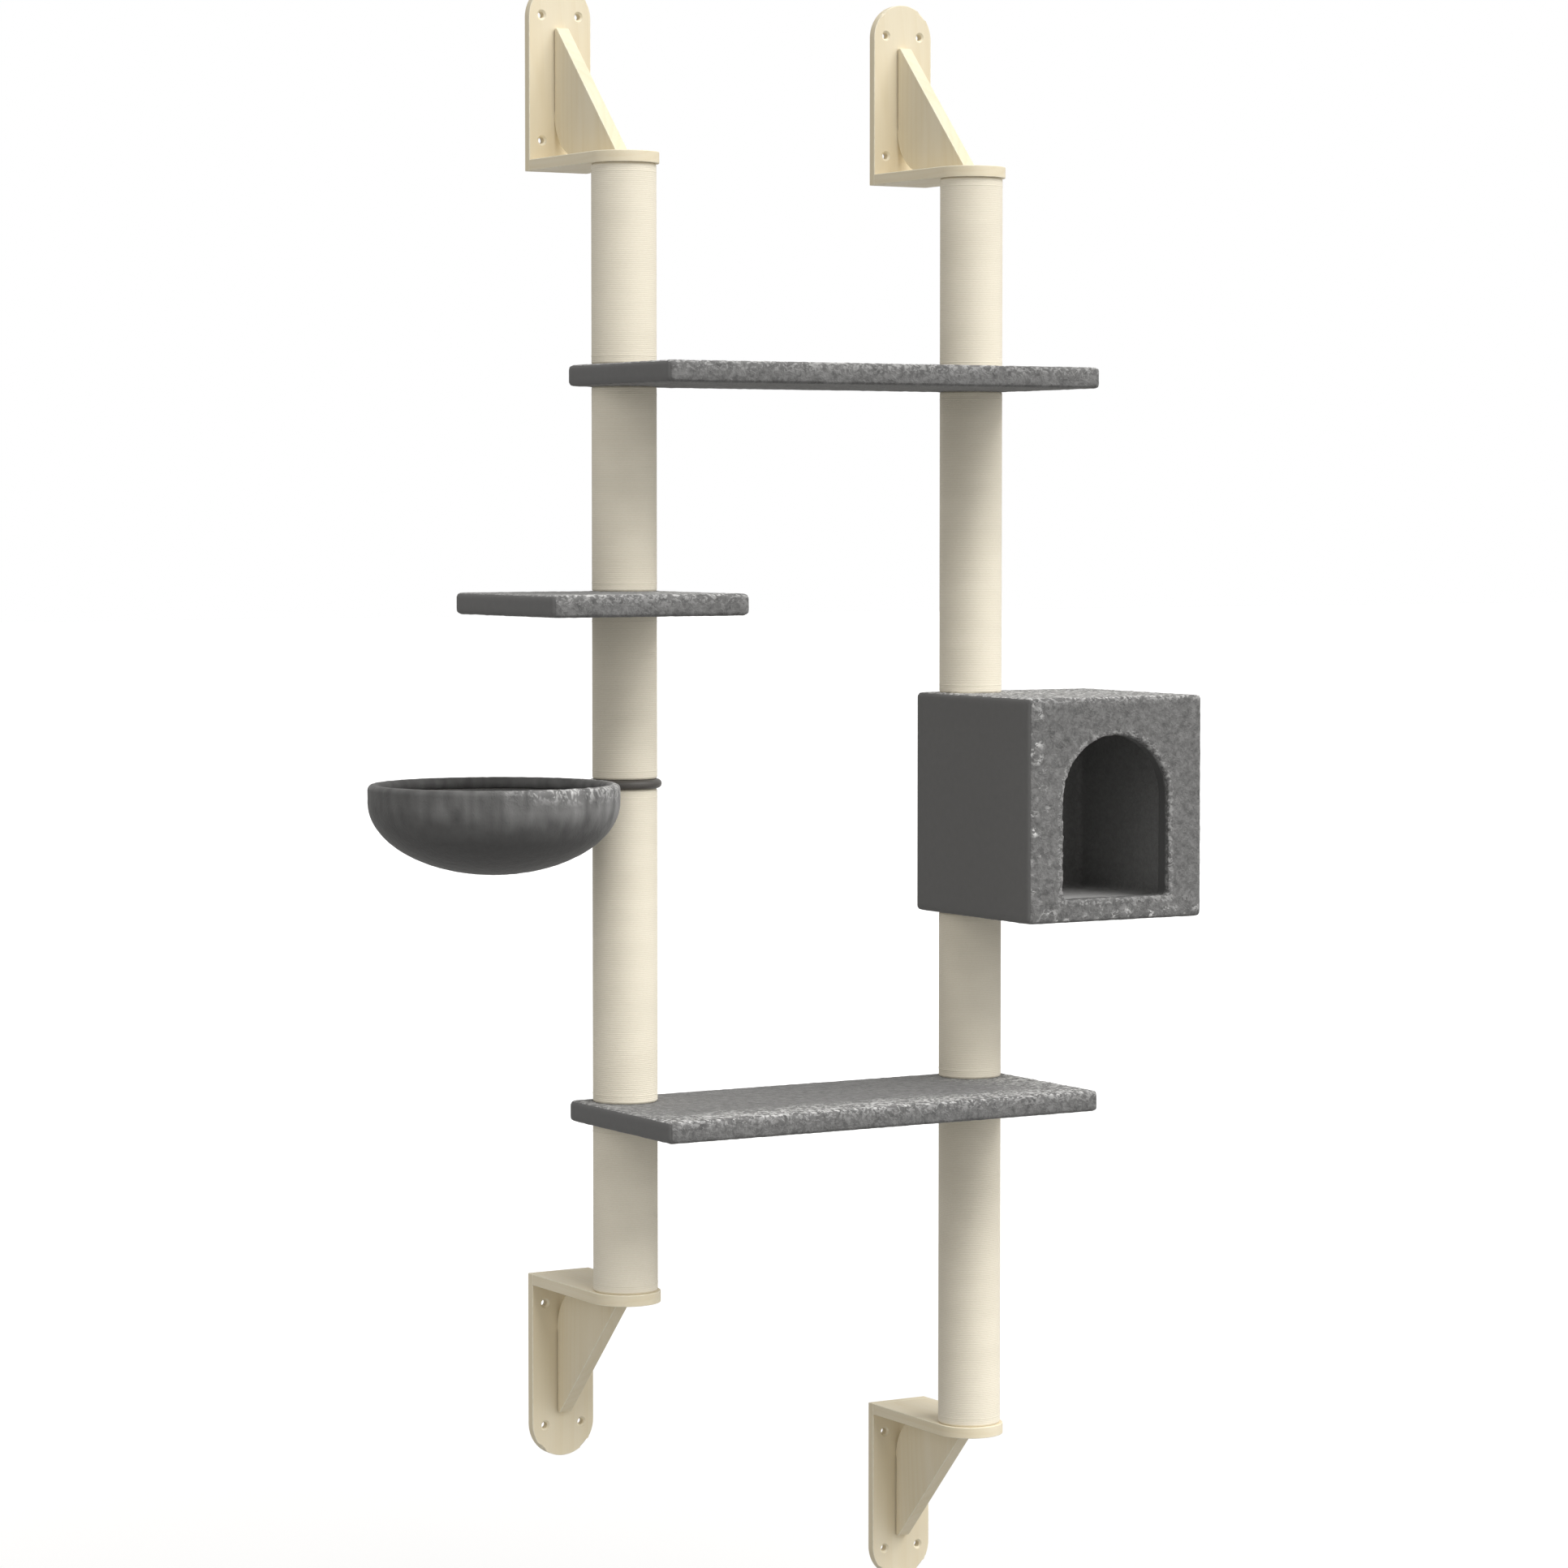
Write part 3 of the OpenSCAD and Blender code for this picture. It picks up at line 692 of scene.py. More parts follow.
def spin_up(shape: Shape, line: list[bmesh.types.BMVert], closed: bool, centre: Vector, steps: int,
            near: float) -> None:
    """Joins points into a section and spins it once round an upright axis.

    Args:
        shape: The shape that holds the points.
        line: The points, in order.
        closed: Whether the last point joins the first; otherwise both lie on the axis.
        centre: A point of the axis.
        steps: How many parts the full turn has.
        near: The distance under which points become one.
    """
    ends = line[1:] + line[:1] if closed else line[1:]
    edges = [shape.edges.new(pair) for pair in zip(line, ends)]
    bmesh.ops.spin(shape, geom=line + edges, cent=centre, axis=(0.0, 0.0, 1.0), angle=ROUND, steps=steps,
                   use_merge=True)
    bmesh.ops.remove_doubles(shape, verts=shape.verts, dist=near)
    bmesh.ops.recalc_face_normals(shape, faces=shape.faces)


def punch(shape: Shape, posts: list[tuple[float, float]], radius: float) -> None:
    """Opens a cover within a radius of each post's axis, where the studs or bolts pass."""
    punched = [v for v in shape.verts if any(math.hypot(v.co.x - x, v.co.y - y) < radius for x, y in posts)]
    bmesh.ops.delete(shape, geom=punched, context="VERTS")


def thicken(piece: bpy.types.Object, skin: float) -> None:
    """Gives an outer surface its thickness inwards."""
    wall = piece.modifiers.new("Skin", "SOLIDIFY")
    wall.thickness = skin
    wall.offset = -1.0
    wall.use_even_offset = False
    wall.use_rim = True


@dataclass(frozen=True)
class Fade:
    """A painted highlight band along an edge: how strong it is at the edge, and how far it reaches."""

    most: float
    reach: float

    def at(self, away: float) -> float:
        """Works out how light the pile is at a distance from the edge and returns it."""
        return self.most - self.most * away / self.reach


@dataclass
class Nap:
    """How a plush surface rises and falls, and which values it carries for its finish, among them where light
    and shade are painted.
    """

    height: float = 0.6 * MM
    tuft: float = 9.0 * MM
    curl: float = 5.0 * MM
    posts: list[tuple[float, float]] = field(default_factory=list)
    post_r: float = 39.5 * MM
    post_ring: float = 7 * MM
    held: float = 0.6 * MM
    collar_rise: float = 0.8 * MM
    # Painted highlight bands along the front, right and left edges of a top, and along the upper edge of the
    # house front.
    front: Fade = Fade(1.8, 78 * MM)
    right: Fade = Fade(1.2, 120 * MM)
    left: Fade = Fade(0.5, 60 * MM)
    side: Fade = Fade(0.6, 8 * MM)
    most: float = 1.15
    # A painted highlight over a whole top.
    top_light: float = 0.0
    low_band: float = 0.0
    drift: tuple[float, float] = (24 * MM, 16 * MM)
    lint: float = 11 * MM
    turned_away: float = -0.6
    facing_up: float = 0.88
    # Painted shade on left-facing sides and, slightly, on undersides.
    left_shade: float = -0.5
    under_shade: float = -0.1
    lint_from: float = 0.1
    lint_gain: float = 3.0
    tuft_share: float = 0.62
    curl_share: float = 0.38
    curl_shift: tuple[float, float, float] = (7.0, 3.0, 1.0)
    level: float = 0.7
    # A painted highlight that grows towards the top of other fronts.
    upper_light: float = 0.46
    rim_from: float = 0.45
    calm: float = 0.1

    def wear_and_painted_light(self, at: Vector, outwards: Vector, low: Vector, high: Vector) -> float:
        """Works out how much painted light the pile gets at a place.

        Args:
            at: The place.
            outwards: The surface's direction there.
            low: The covered box's lowest corner.
            high: The covered box's highest corner.

        Returns:
            1 where the painted highlight is strongest, 0 on a plain face, and below 0 where shade is painted:
            most on left-facing sides, a little on undersides.
        """
        # Left-facing sides: painted shade.
        if outwards.x < self.turned_away:
            return self.left_shade
        # Undersides: slight painted shade.
        if outwards.z < self.turned_away:
            return self.under_shade
        size, reach = self.drift
        drift = noise.noise(at / size) * reach
        # Tops: painted highlight bands along the edges, or over the whole top.
        if outwards.z > self.facing_up:
            bands = (self.front.at(at.y - low.y + drift), self.right.at(high.x - at.x + drift),
                     self.left.at(at.x - low.x + drift))
            return min(self.most, max(self.top_light, 0.0, *bands))
        # House front: lighter strands in patches near its left and bottom edges, and a painted highlight
        # along its top edge.
        if self.low_band:
            near = 1.0 - (min(at.x - low.x, at.z - low.z) + drift) / self.low_band
            sparse = max(0.0, noise.noise(at / self.lint) - self.lint_from) * self.lint_gain
            return max(0.0, near * sparse, self.side.at(high.z - at.z))
        # Other fronts: a painted highlight towards the top edge.
        up = (at.z - low.z) / (high.z - low.z)
        return self.upper_light * max(0.0, up - self.rim_from) / (1.0 - self.rim_from)

    def wave(self, at: Vector) -> float:
        """Works out how high the pile stands at a place, from -1 to 1, and returns it."""
        curl = noise.noise(at / self.curl + Vector(self.curl_shift))
        return self.tuft_share * noise.noise(at / self.tuft) + self.curl_share * curl

    def raise_on(self, shape: Shape, low: Vector, high: Vector) -> None:
        """Raises the pile of a covered box and marks its tufts and its painted light and shade.

        Args:
            shape: The cover's outer surface.
            low: The box's lowest corner.
            high: The box's highest corner.
        """
        tuft = shape.verts.layers.float.new("tuft")
        painted_pile_light = shape.verts.layers.float.new("painted_pile_light")
        shape.normal_update()
        moves: list[tuple[bmesh.types.BMVert, Vector]] = []
        for vert in shape.verts:
            at = vert.co
            wave = self.wave(at) * (self.calm if vert.normal.x < self.turned_away else 1.0)
            rise = self.height * wave
            free = 1.0
            if abs(vert.normal.z) > self.level:
                for x, y in self.posts:
                    far = math.hypot(at.x - x, at.y - y) - self.post_r
                    if far < self.held:
                        free = 0.0
                    elif far < self.post_ring:
                        rise += self.collar_rise * (1 - far / self.post_ring) ** 2
            vert[painted_pile_light] = self.wear_and_painted_light(at, vert.normal, low, high)
            vert[tuft] = min(1.0, max(0.0, 0.5 + wave)) * free
            moves.append((vert, vert.normal * rise * free))
        for vert, move in moves:
            vert.co += move


@dataclass
class Brackets:
    """The four wooden wall brackets with their hidden screws and inserts."""

    corners: tuple[str, ...] = ("upper_left", "upper_right", "lower_left", "lower_right")
    easing: float = 0.9 * MM
    margin: float = 8.0 * MM
    hole_chamfer: float = 2.4 * MM
    groove: float = 2.4 * MM
    joint_length: float = 20 * MM
    flat: float = 0.1 * MM
    hole_wear: float = 0.6

    def build(self, frame: dict, finishes: Finishes) -> int:
        """Builds and dresses the brackets and returns how many pieces they have."""
        for corner in self.corners:
            for part, finish in (("wall_plate", finishes.pine_upright), ("gusset", finishes.pine_upright),
                                 ("arm", finishes.pine_forward)):
                wide = {"wall_plate": self.hole_rims, "gusset": self.back_edges}.get(part)
                eased(frame, f"{corner}_{part}", finish, Body.FRAME, self.easing, wide)
        dress(frame, "bracket_screws", finishes.steel)
        dress(frame, "arm_inserts", finishes.brass)
        return 3 * len(self.corners) + 2

    def hole_rims(self, shape: Shape) -> tuple[Edges, float, float]:
        """Finds the front rims of the holes and returns them with the width and wear of their chamfer."""
        low, high = (Vector(pick(v.co[i] for v in shape.verts) for i in range(3)) for pick in (min, max))
        rims = [e for e in shape.edges if e.calc_face_angle(0.0) > SHARP
                and all(v.co.y < low.y + self.flat and low.x + self.margin < v.co.x < high.x - self.margin
                        and low.z + self.margin < v.co.z < high.z - self.margin for v in e.verts)]
        return rims, self.hole_chamfer, self.hole_wear

    def back_edges(self, shape: Shape) -> tuple[Edges, float, float]:
        """Finds the upright edges at the wall plate and returns them with their groove's width and a mark
        that paints the groove dark as shade.
        """
        back = max(v.co.y for v in shape.verts)
        edges = [e for e in shape.edges if all(v.co.y > back - self.flat for v in e.verts)
                 and abs(e.verts[0].co.z - e.verts[1].co.z) > self.joint_length
                 and e.calc_face_angle(0.0) > SHARP]
        return edges, self.groove, -1.0


@dataclass
class Post:
    """One post: sections of cardboard tube wound with sisal, with plugs and studs inside."""

    side: str
    sections: int
    pitch: float = 2.3 * MM
    rib: float = 0.22 * MM
    wall: float = 3.9 * MM
    steps: int = 64
    end_round: float = 2.2 * MM
    edge_turn: int = 3
    edge_rise: float = 0.5 * MM
    weld: float = 0.001 * MM
    cut: float = 0.35
    swell_size: tuple[float, float] = (31.0, 9.0)

    def build(self, frame: dict, finishes: Finishes) -> int:
        """Builds and dresses the post and returns how many pieces it has."""
        for number in range(1, self.sections + 1):
            self.wind(f"{self.side}_sleeve_{number}", finishes.sisal)
            dress(frame, f"{self.side}_tube_{number}", finishes.cardboard)
        dress(frame, f"{self.side}_plugs", finishes.plug_wood)
        dress(frame, f"{self.side}_studs", finishes.steel)
        return 2 * self.sections + 2

    def section(self, low: float, high: float, outer: float) -> list[tuple[float, float, float]]:
        """Draws half the section of one winding.

        Args:
            low: The height of its lower end.
            high: The height of its upper end.
            outer: The radius of its crowns.

        Returns:
            Radius, height and share of the way up to the crown of each point, in order round the section.
        """
        ease = self.end_round
        turns = max(1, round((high - low - 2 * ease) / self.pitch))
        step = (high - low - 2 * ease) / turns
        inner = outer - self.wall
        cut = self.cut * ease
        along, across = self.swell_size
        line = [(inner, low, 0.5), (outer - ease, low, 0.5), (outer - cut, low + cut, 0.5)]
        for turn in range(turns):
            foot = low + ease + turn * step
            swell = 0.5 * self.rib * noise.noise(Vector((foot * along, outer * across, 4.0)))
            if turn in (self.edge_turn, turns - 1 - self.edge_turn):
                swell += self.edge_rise
            flank = outer - 0.25 * self.rib + 0.4 * swell
            line += [(outer - self.rib, foot, 0.0), (flank, foot + 0.25 * step, 0.8),
                     (outer + 0.3 * swell, foot + 0.5 * step, 1.0), (flank, foot + 0.75 * step, 0.8)]
        return line + [(outer - self.rib, high - ease, 0.0), (outer - cut, high - cut, 0.5),
                       (outer - ease, high, 0.5), (inner, high, 0.5)]

    def wind(self, node: str, finish: bpy.types.Material) -> None:
        """Winds the section of a sleeve's node with cord."""
        low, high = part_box(node)
        centre = (low + high) / 2
        outer = (high.x - low.x) / 2
        shape = bmesh.new()
        rib = shape.verts.layers.float.new("rib")
        verts: list[bmesh.types.BMVert] = []
        for radius, height, crown in self.section(low.z, high.z, outer):
            verts.append(shape.verts.new((centre.x + radius, centre.y, height)))
            verts[-1][rib] = crown
        spin_up(shape, verts, True, centre, self.steps, self.weld)
        self.chart(shape, centre, outer)
        published(shape, node + "_winding", finish, Body.FRAME, (node,))

    @staticmethod
    def chart(shape: Shape, centre: Vector, radius: float) -> None:
        """Lays out the coordinates round and along the post, in metres.

        Args:
            shape: The winding.
            centre: A point of the post's axis.
            radius: The post's radius.
        """
        chart = shape.loops.layers.uv.new("winding")
        for face in shape.faces:
            middle = face.calc_center_median()
            main = math.atan2(middle.x - centre.x, middle.y - centre.y)
            for corner in face.loops:
                at = corner.vert.co
                turn = math.atan2(at.x - centre.x, at.y - centre.y)
                turn += ROUND * round((main - turn) / ROUND)
                corner[chart].uv = (turn * radius, at.z)


@dataclass
class Shelf:
    """A board wrapped in plush."""

    name: str
    posts: list[tuple[float, float]]
    corner: float = 7 * MM
    edge: float = 5 * MM
    skin: float = 3.2 * MM
    grid: float = 3.0 * MM
    hole_r: float = 6.0 * MM

    def build(self, frame: dict, finishes: Finishes) -> int:
        """Builds and dresses the shelf and returns how many pieces it has."""
        node = f"{self.name}_shelf_cover"
        low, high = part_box(node)
        shape = carved(padded_block(low, high, self.corner, self.edge), (), self.grid)
        # The pile gets painted highlight bands along the top's edges and painted shade on its left-facing
        # end.
        Nap(posts=self.posts).raise_on(shape, low, high)
        punch(shape, self.posts, self.hole_r)
        piece = published(shape, node + "_plush", finishes.plush, Body.FRAME, (node,))
        thicken(piece, self.skin)
        dress(frame, f"{self.name}_shelf_board", finishes.fibreboard)
        return 2


@dataclass
class House:
    """The box with an arched doorway, covered in plush and lined."""

    doorway: float = 158 * MM
    rise: float = 203 * MM
    sill: float = 28 * MM
    wrap_depth: float = 22 * MM
    edge: float = 5 * MM
    skin: float = 2.9 * MM
    grid: float = 3.2 * MM
    post: tuple[float, float] = (0.5, -0.175)
    hole_r: float = 6.0 * MM
    cloth: float = 3.2 * MM
    cabin_corner: float = 7 * MM
    cabin_gap: float = 0.2 * MM
    cut_past: float = 12 * MM
    margin: float = 6 * MM
    fringe: float = 7 * MM
    fringe_size: float = 6 * MM
    fringe_rise: float = 2.2 * MM
    fringe_sink: float = 0.5 * MM
    fringe_light: float = 0.3
    reveal_reach: float = 4 * MM
    floor_reach: float = 4 * MM
    recess_past: float = 20 * MM
    turn_past: float = 1 * MM
    turn_fade: float = 3 * MM
    lining_front: float = 2 * MM
    lining_past: float = 3 * MM
    facets: int = 96
    boards: tuple[str, ...] = ("floor", "roof", "left_side", "right_side", "back", "front")

    def build(self, frame: dict, finishes: Finishes) -> int:
        """Builds and dresses the house and returns how many pieces it has."""
        self.cover(finishes.house_plush)
        self.lining(finishes.lit_cabin_lining)
        for board in self.boards:
            dress(frame, "house_" + board, finishes.fibreboard)
        for metal in ("screws", "bolts", "washers"):
            dress(frame, "house_" + metal, finishes.steel)
        return len(self.boards) + 5

    def cutters(self, low: Vector, middle: float, spring: float) -> tuple[Shape, Shape]:
        """Makes the two shapes that cut the doorway's recess.

        Args:
            low: The house's lowest corner.
            middle: The doorway's middle.
            spring: The height at which its arch begins.

        Returns:
            The upright part and the round part.
        """
        radius = self.doorway / 2
        depth = self.wrap_depth + self.cut_past
        upright = bmesh.new()
        bmesh.ops.create_cube(upright, size=1.0)
        size = (self.doorway, 2 * depth, spring - low.z - self.sill)
        bmesh.ops.scale(upright, vec=size, verts=upright.verts)
        centre = (middle, low.y, (spring + low.z + self.sill) / 2)
        bmesh.ops.translate(upright, vec=centre, verts=upright.verts)
        arch = bmesh.new()
        laid = Matrix.Translation((middle, low.y, spring)) @ Matrix.Rotation(math.pi / 2, 4, "X")
        bmesh.ops.create_cone(arch, cap_ends=True, segments=self.facets, radius1=radius, radius2=radius,
                              depth=2 * depth, matrix=laid)
        return upright, arch

    def beyond(self, x: float, z: float, spring: float, foot: float) -> float:
        """Works out how far a place on the front lies outside the doorway.

        Args:
            x: Its distance from the doorway's middle.
            z: Its height.
            spring: The height at which the arch begins.
            foot: The height of the sill.

        Returns:
            The distance, below 0 within the doorway.
        """
        radius = self.doorway / 2
        return math.hypot(x, z - spring) - radius if z > spring else max(abs(x) - radius, foot - z)

    def cover(self, finish: bpy.types.Material) -> None:
        """Builds the plush cover with the turned-in edge of its doorway, whose reveal is painted darker as
        shade.
        """
        low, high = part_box("house_cover")
        radius = self.doorway / 2
        middle = (low.x + high.x) / 2
        foot = low.z + self.sill
        spring = foot + self.rise - radius
        block = padded_block(low, high, self.edge, self.edge)
        shape = carved(block, self.cutters(low, middle, spring), self.grid)
        inner = low.y + self.wrap_depth
        recess = [f for f in shape.faces
                  if low.y + self.cut_past < (c := f.calc_center_median()).y < inner + self.recess_past
                  and abs(c.x - middle) < radius + self.margin
                  and low.z + self.cut_past < c.z < spring + radius + self.margin]
        corners = {v for f in recess for v in f.verts}
        sides = {e for f in recess for e in f.edges}
        around = list(corners) + list(sides) + recess
        bmesh.ops.bisect_plane(shape, geom=around, plane_co=(0.0, inner, 0.0), plane_no=(0.0, 1.0, 0.0),
                               clear_outer=True)
        # The roof gets a painted highlight all over; the front gets lighter strands near its left and bottom
        # edges.
        Nap(posts=[self.post], top_light=1.1, low_band=30 * MM).raise_on(shape, low, high)
        tuft = shape.verts.layers.float["tuft"]
        painted_pile_light = shape.verts.layers.float["painted_pile_light"]
        inside = shape.verts.layers.float.new("inside")
        for vert in shape.verts:
            far = self.beyond(vert.co.x - middle, vert.co.z, spring, foot)
            # The fuzzy edge round the doorway gets a painted highlight of light strands.
            if far < self.fringe and vert.co.y < low.y + self.margin:
                fuzz = self.fringe_rise * noise.noise(vert.co / self.fringe_size)
                vert[painted_pile_light] = self.fringe_light
                vert.co += Vector((fuzz, -self.fringe_sink * vert[tuft], fuzz))
            # The turned-in reveal is painted darker as shade, blending into the dark cabin.
            elif far < self.reveal_reach and vert.co.y < inner + self.turn_past:
                vert[inside] = min(1.0, (vert.co.y - low.y - self.margin) / self.turn_fade)
        punch(shape, [self.post], self.hole_r)
        piece = published(shape, "house_cover_plush", finish, Body.FRAME, ("house_cover",))
        thicken(piece, self.skin)

    def lining(self, finish: bpy.types.Material) -> None:
        """Builds the cabin's lining, open at the doorway, with a pool of light painted on its floor."""
        low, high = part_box("house_lining")
        inset = Vector((self.cloth, self.cloth, self.cloth))
        low, high = low + inset, high - inset
        middle = (low.x + high.x) / 2
        foot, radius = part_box("house_cover")[0].z + self.sill, self.doorway / 2
        spring = foot + self.rise - radius
        shape = carved(padded_block(low, high, self.cabin_corner, self.cabin_corner), (), self.grid)
        doorway: list[bmesh.types.BMFace] = []
        for face in shape.faces:
            at = face.calc_center_median()
            far = self.beyond(at.x - middle, at.z, spring, foot)
            if at.y < low.y + self.lining_front and far < self.lining_past:
                doorway.append(face)
        bmesh.ops.delete(shape, geom=doorway, context="FACES")
        punch(shape, [self.post], self.hole_r)
        bmesh.ops.reverse_faces(shape, faces=shape.faces)
        inside = shape.verts.layers.float.new("inside")
        for vert in shape.verts:
            # The floor is painted lighter, as the light that falls in through the doorway.
            vert[inside] = min(1.0, max(0.0, 1.0 - (vert.co.z - low.z) / self.floor_reach))
        piece = published(shape, "house_lining_cloth", finish, Body.FRAME, ("house_lining",))
        thicken(piece, self.cloth - self.cabin_gap)


@dataclass
class Basket:
    """The round bowl that swings on the left post: plush over a hoop, padding and a lining."""

    radius: float = 150 * MM
    rim: float = 14 * MM
    hoop: float = 6 * MM
    side: float = 14 * MM
    bowl: float = 87 * MM
    wall: float = 3.5 * MM
    gap: float = 0.3 * MM
    padding: float = 5 * MM
    reach: float = 199 * MM
    turn: float = math.radians(190)
    steps: int = 160
    # The side towards the lamps, where the outer plush is painted lighter.
    lit_side: float = math.radians(-35)
    pile: float = 0.45 * MM
    liner_pile: float = 0.3 * MM
    stroke: tuple[float, float] = (9 * MM, 30 * MM)
    stroke_depth: float = 38 * MM
    fleck_depth: float = 24 * MM
    # The painted-light value that every layer starts from, below 0 so that the pattern is calmed.
    plain_pile_light: float = -0.3
    weld: float = 0.01 * MM
    curve_steps: int = 44
    face_steps: int = 64
    area_steps: int = 60
    rim_steps: int = 26
    bore_steps: int = 16
    side_shares: tuple[float, float] = (0.35, 0.7)
    stroke_light: tuple[float, float, float] = (0.78, 0.9, 1.4)
    stroke_from: float = 1.7
    stroke_side: tuple[float, float] = (0.85, 0.55)
    fleck_light: tuple[float, float] = (1.2, 0.6)
    fleck_side: float = 1.6
    facing_in: float = -0.3
    collar_easing: float = 0.5 * MM

    def build(self, frame: dict, finishes: Finishes) -> int:
        """Builds and dresses the basket and returns how many pieces it has."""
        low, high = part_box("basket_collar")
        pivot = (low + high) / 2
        turned = Matrix.Rotation(self.turn, 4, "Z")
        place = Matrix.Translation(pivot) @ turned @ Matrix.Translation((self.reach, 0, 0))
        self.cover(place, finishes.basket_plush)
        inset = self.wall + self.gap
        foam = self.layer(inset, inset + self.padding, place)
        self.ruffle(foam, 0.0, False)
        padding = published(foam, "basket_padding", finishes.foam, Body.BASKET, ("basket_foam",))
        inset += self.padding + self.gap
        cloth = self.layer(inset, inset + self.wall, place)
        self.ruffle(cloth, self.liner_pile, False)
        liner = published(cloth, "basket_liner", finishes.lining, Body.BASKET, ("basket_lining",))
        eased(frame, "basket_collar", finishes.collar, Body.BASKET, self.collar_easing)
        dress(frame, "basket_hoop", finishes.hoop_paint)
        return 5

    def curve(self, inset: float, count: int) -> list[tuple[float, float]]:
        """Works out the bowl's section at a distance inside its outer face.

        Args:
            inset: The distance.
            count: The number of steps along the round part.

        Returns:
            Radius and height of each point, from the foot of the upright side to the middle of the bottom.
        """
        radius, bowl = self.radius - inset, self.bowl - inset
        quarter = [0.5 * math.pi * i / count for i in range(count + 1)]
        return [(radius * math.cos(a), -self.side - bowl * math.sin(a)) for a in quarter]

    def spun(self, line: list[tuple[float, float]], closed: bool) -> Shape:
        """Spins a section round the bowl's axis.

        Args:
            line: Radius and height of the section's points.
            closed: Whether the last point joins the first; otherwise both lie on the axis.

        Returns:
            The shape.
        """
        shape = bmesh.new()
        verts = [shape.verts.new((radius, 0.0, height)) for radius, height in line]
        spin_up(shape, verts, closed, Vector(), self.steps, self.weld)
        return shape

    def layer(self, outer: float, inner: float, place: Matrix) -> Shape:
        """Makes one closed layer of the bowl between two distances inside its outer face.

        Args:
            outer: The nearer distance.
            inner: The further distance.
            place: Where the layer goes.

        Returns:
            The layer.
        """
        top = -self.rim / 2 - self.gap
        sides = [top + (-self.side - top) * i / 2 for i in range(2)]
        down = [(self.radius - outer, z) for z in sides] + self.curve(outer, self.curve_steps)
        back = [(self.radius - inner, z) for z in sides] + self.curve(inner, self.curve_steps)
        shape = self.spun([*reversed(down), *back], False)
        bmesh.ops.transform(shape, matrix=place, verts=shape.verts)
        return shape

    def cover(self, place: Matrix, finish: bpy.types.Material) -> None:
        """Makes the outer plush, whose rim is rolled round the hoop.

        Args:
            place: Where the cover goes.
            finish: The plush.
        """
        roll = self.rim / 2
        ring = self.radius - roll
        inside = self.radius - self.wall
        first = ROUND - math.acos((inside - ring) / roll)
        turns = [first * (1 - i / self.rim_steps) for i in range(self.rim_steps + 1)]
        rim = [(ring + roll * math.cos(a), roll * math.sin(a)) for a in turns]
        sides = [-share * self.side for share in self.side_shares]
        down = [(self.radius, z) for z in sides] + self.curve(0.0, self.face_steps)
        back = [(inside, sides[-1]), *self.curve(self.wall, self.curve_steps)]
        shape = self.spun([*reversed(back), *rim, *down], False)
        bore = self.hoop / 2 + self.gap
        around = [ROUND * i / self.bore_steps for i in range(self.bore_steps)]
        hollow = self.spun([(ring + bore * math.cos(a), bore * math.sin(a)) for a in around], True)
        bmesh.ops.reverse_faces(hollow, faces=hollow.faces)
        bmesh.ops.transform(hollow, matrix=place, verts=hollow.verts)
        spare = bpy.data.meshes.new("spare")
        hollow.to_mesh(spare)
        hollow.free()
        bmesh.ops.transform(shape, matrix=place, verts=shape.verts)
        self.ruffle(shape, self.pile, True, place.translation)
        shape.from_mesh(spare)
        bpy.data.meshes.remove(spare)
        piece = published(shape, "basket_cover_plush", finish, Body.BASKET, ("basket_cover",))

    def ruffle(self, shape: Shape, height: float, outside: bool, centre: Vector | None = None) -> None:
        """Raises a pile on a layer and calms its pattern; on the outer plush it also marks painted
        highlights.

        Args:
            shape: The layer.
            height: How high the pile rises and falls.
            outside: Whether it is the outer plush, which gets painted highlights: a lighter upper part and
                light flecks near its rim on the side towards the lamps.
            centre: The bowl's middle, which only the outer plush needs.
        """
        tuft = shape.verts.layers.float.new("tuft")
        painted_pile_light = shape.verts.layers.float.new("painted_pile_light")
        shape.normal_update()
        top = max(v.co.z for v in shape.verts)
        across, along = self.stroke
        middle, swing, most = self.stroke_light
        even, sided = self.stroke_side
        fleck, fleck_swing = self.fleck_light
        nap = Nap()
        moves = [(v, v.normal.copy(), nap.wave(v.co)) for v in shape.verts]
        for vert, outwards, wave in moves:
            depth = top - vert.co.z
            vert[painted_pile_light] = self.plain_pile_light
            if outside:
                at = vert.co
                strokes = noise.noise(Vector((at.x / across, at.y / across, at.z / along)))
                spoke = (at - centre).to_2d().normalized()
                side = spoke.x * math.cos(self.lit_side) + spoke.y * math.sin(self.lit_side)
                # Painted highlight: the upper part of the side towards the lamps is tinted lighter, fading
                # downwards.
                fade = min(1.0, max(0.0, self.stroke_from - depth / self.stroke_depth))
                vert[tuft] = min(most, max(0.0, middle + swing * strokes)) * fade * (even + sided * side)
                # Painted highlight: light flecks near the rim on the side towards the lamps.
                if spoke.dot(outwards.to_2d()) > self.facing_in:
                    high = max(0.0, 1.0 - depth / self.fleck_depth) * (fleck + fleck_swing * strokes)
                    vert[painted_pile_light] += max(0.0, min(1.0, self.fleck_side * side)) * high
            vert.co += outwards * height * wave


@dataclass(frozen=True)
class Lamp:
    """A far soft lamp: its name, its share of the light, and its side, height and width in degrees."""

    name: str
    side: float
    height: float
    share: float
    width: float

    def towards(self) -> Vector:
        """Works out the direction from the tree to the lamp and returns it."""
        side, height = math.radians(self.side), math.radians(self.height)
        level = math.cos(height)
        return Vector((level * math.sin(side), -level * math.cos(side), math.sin(height)))


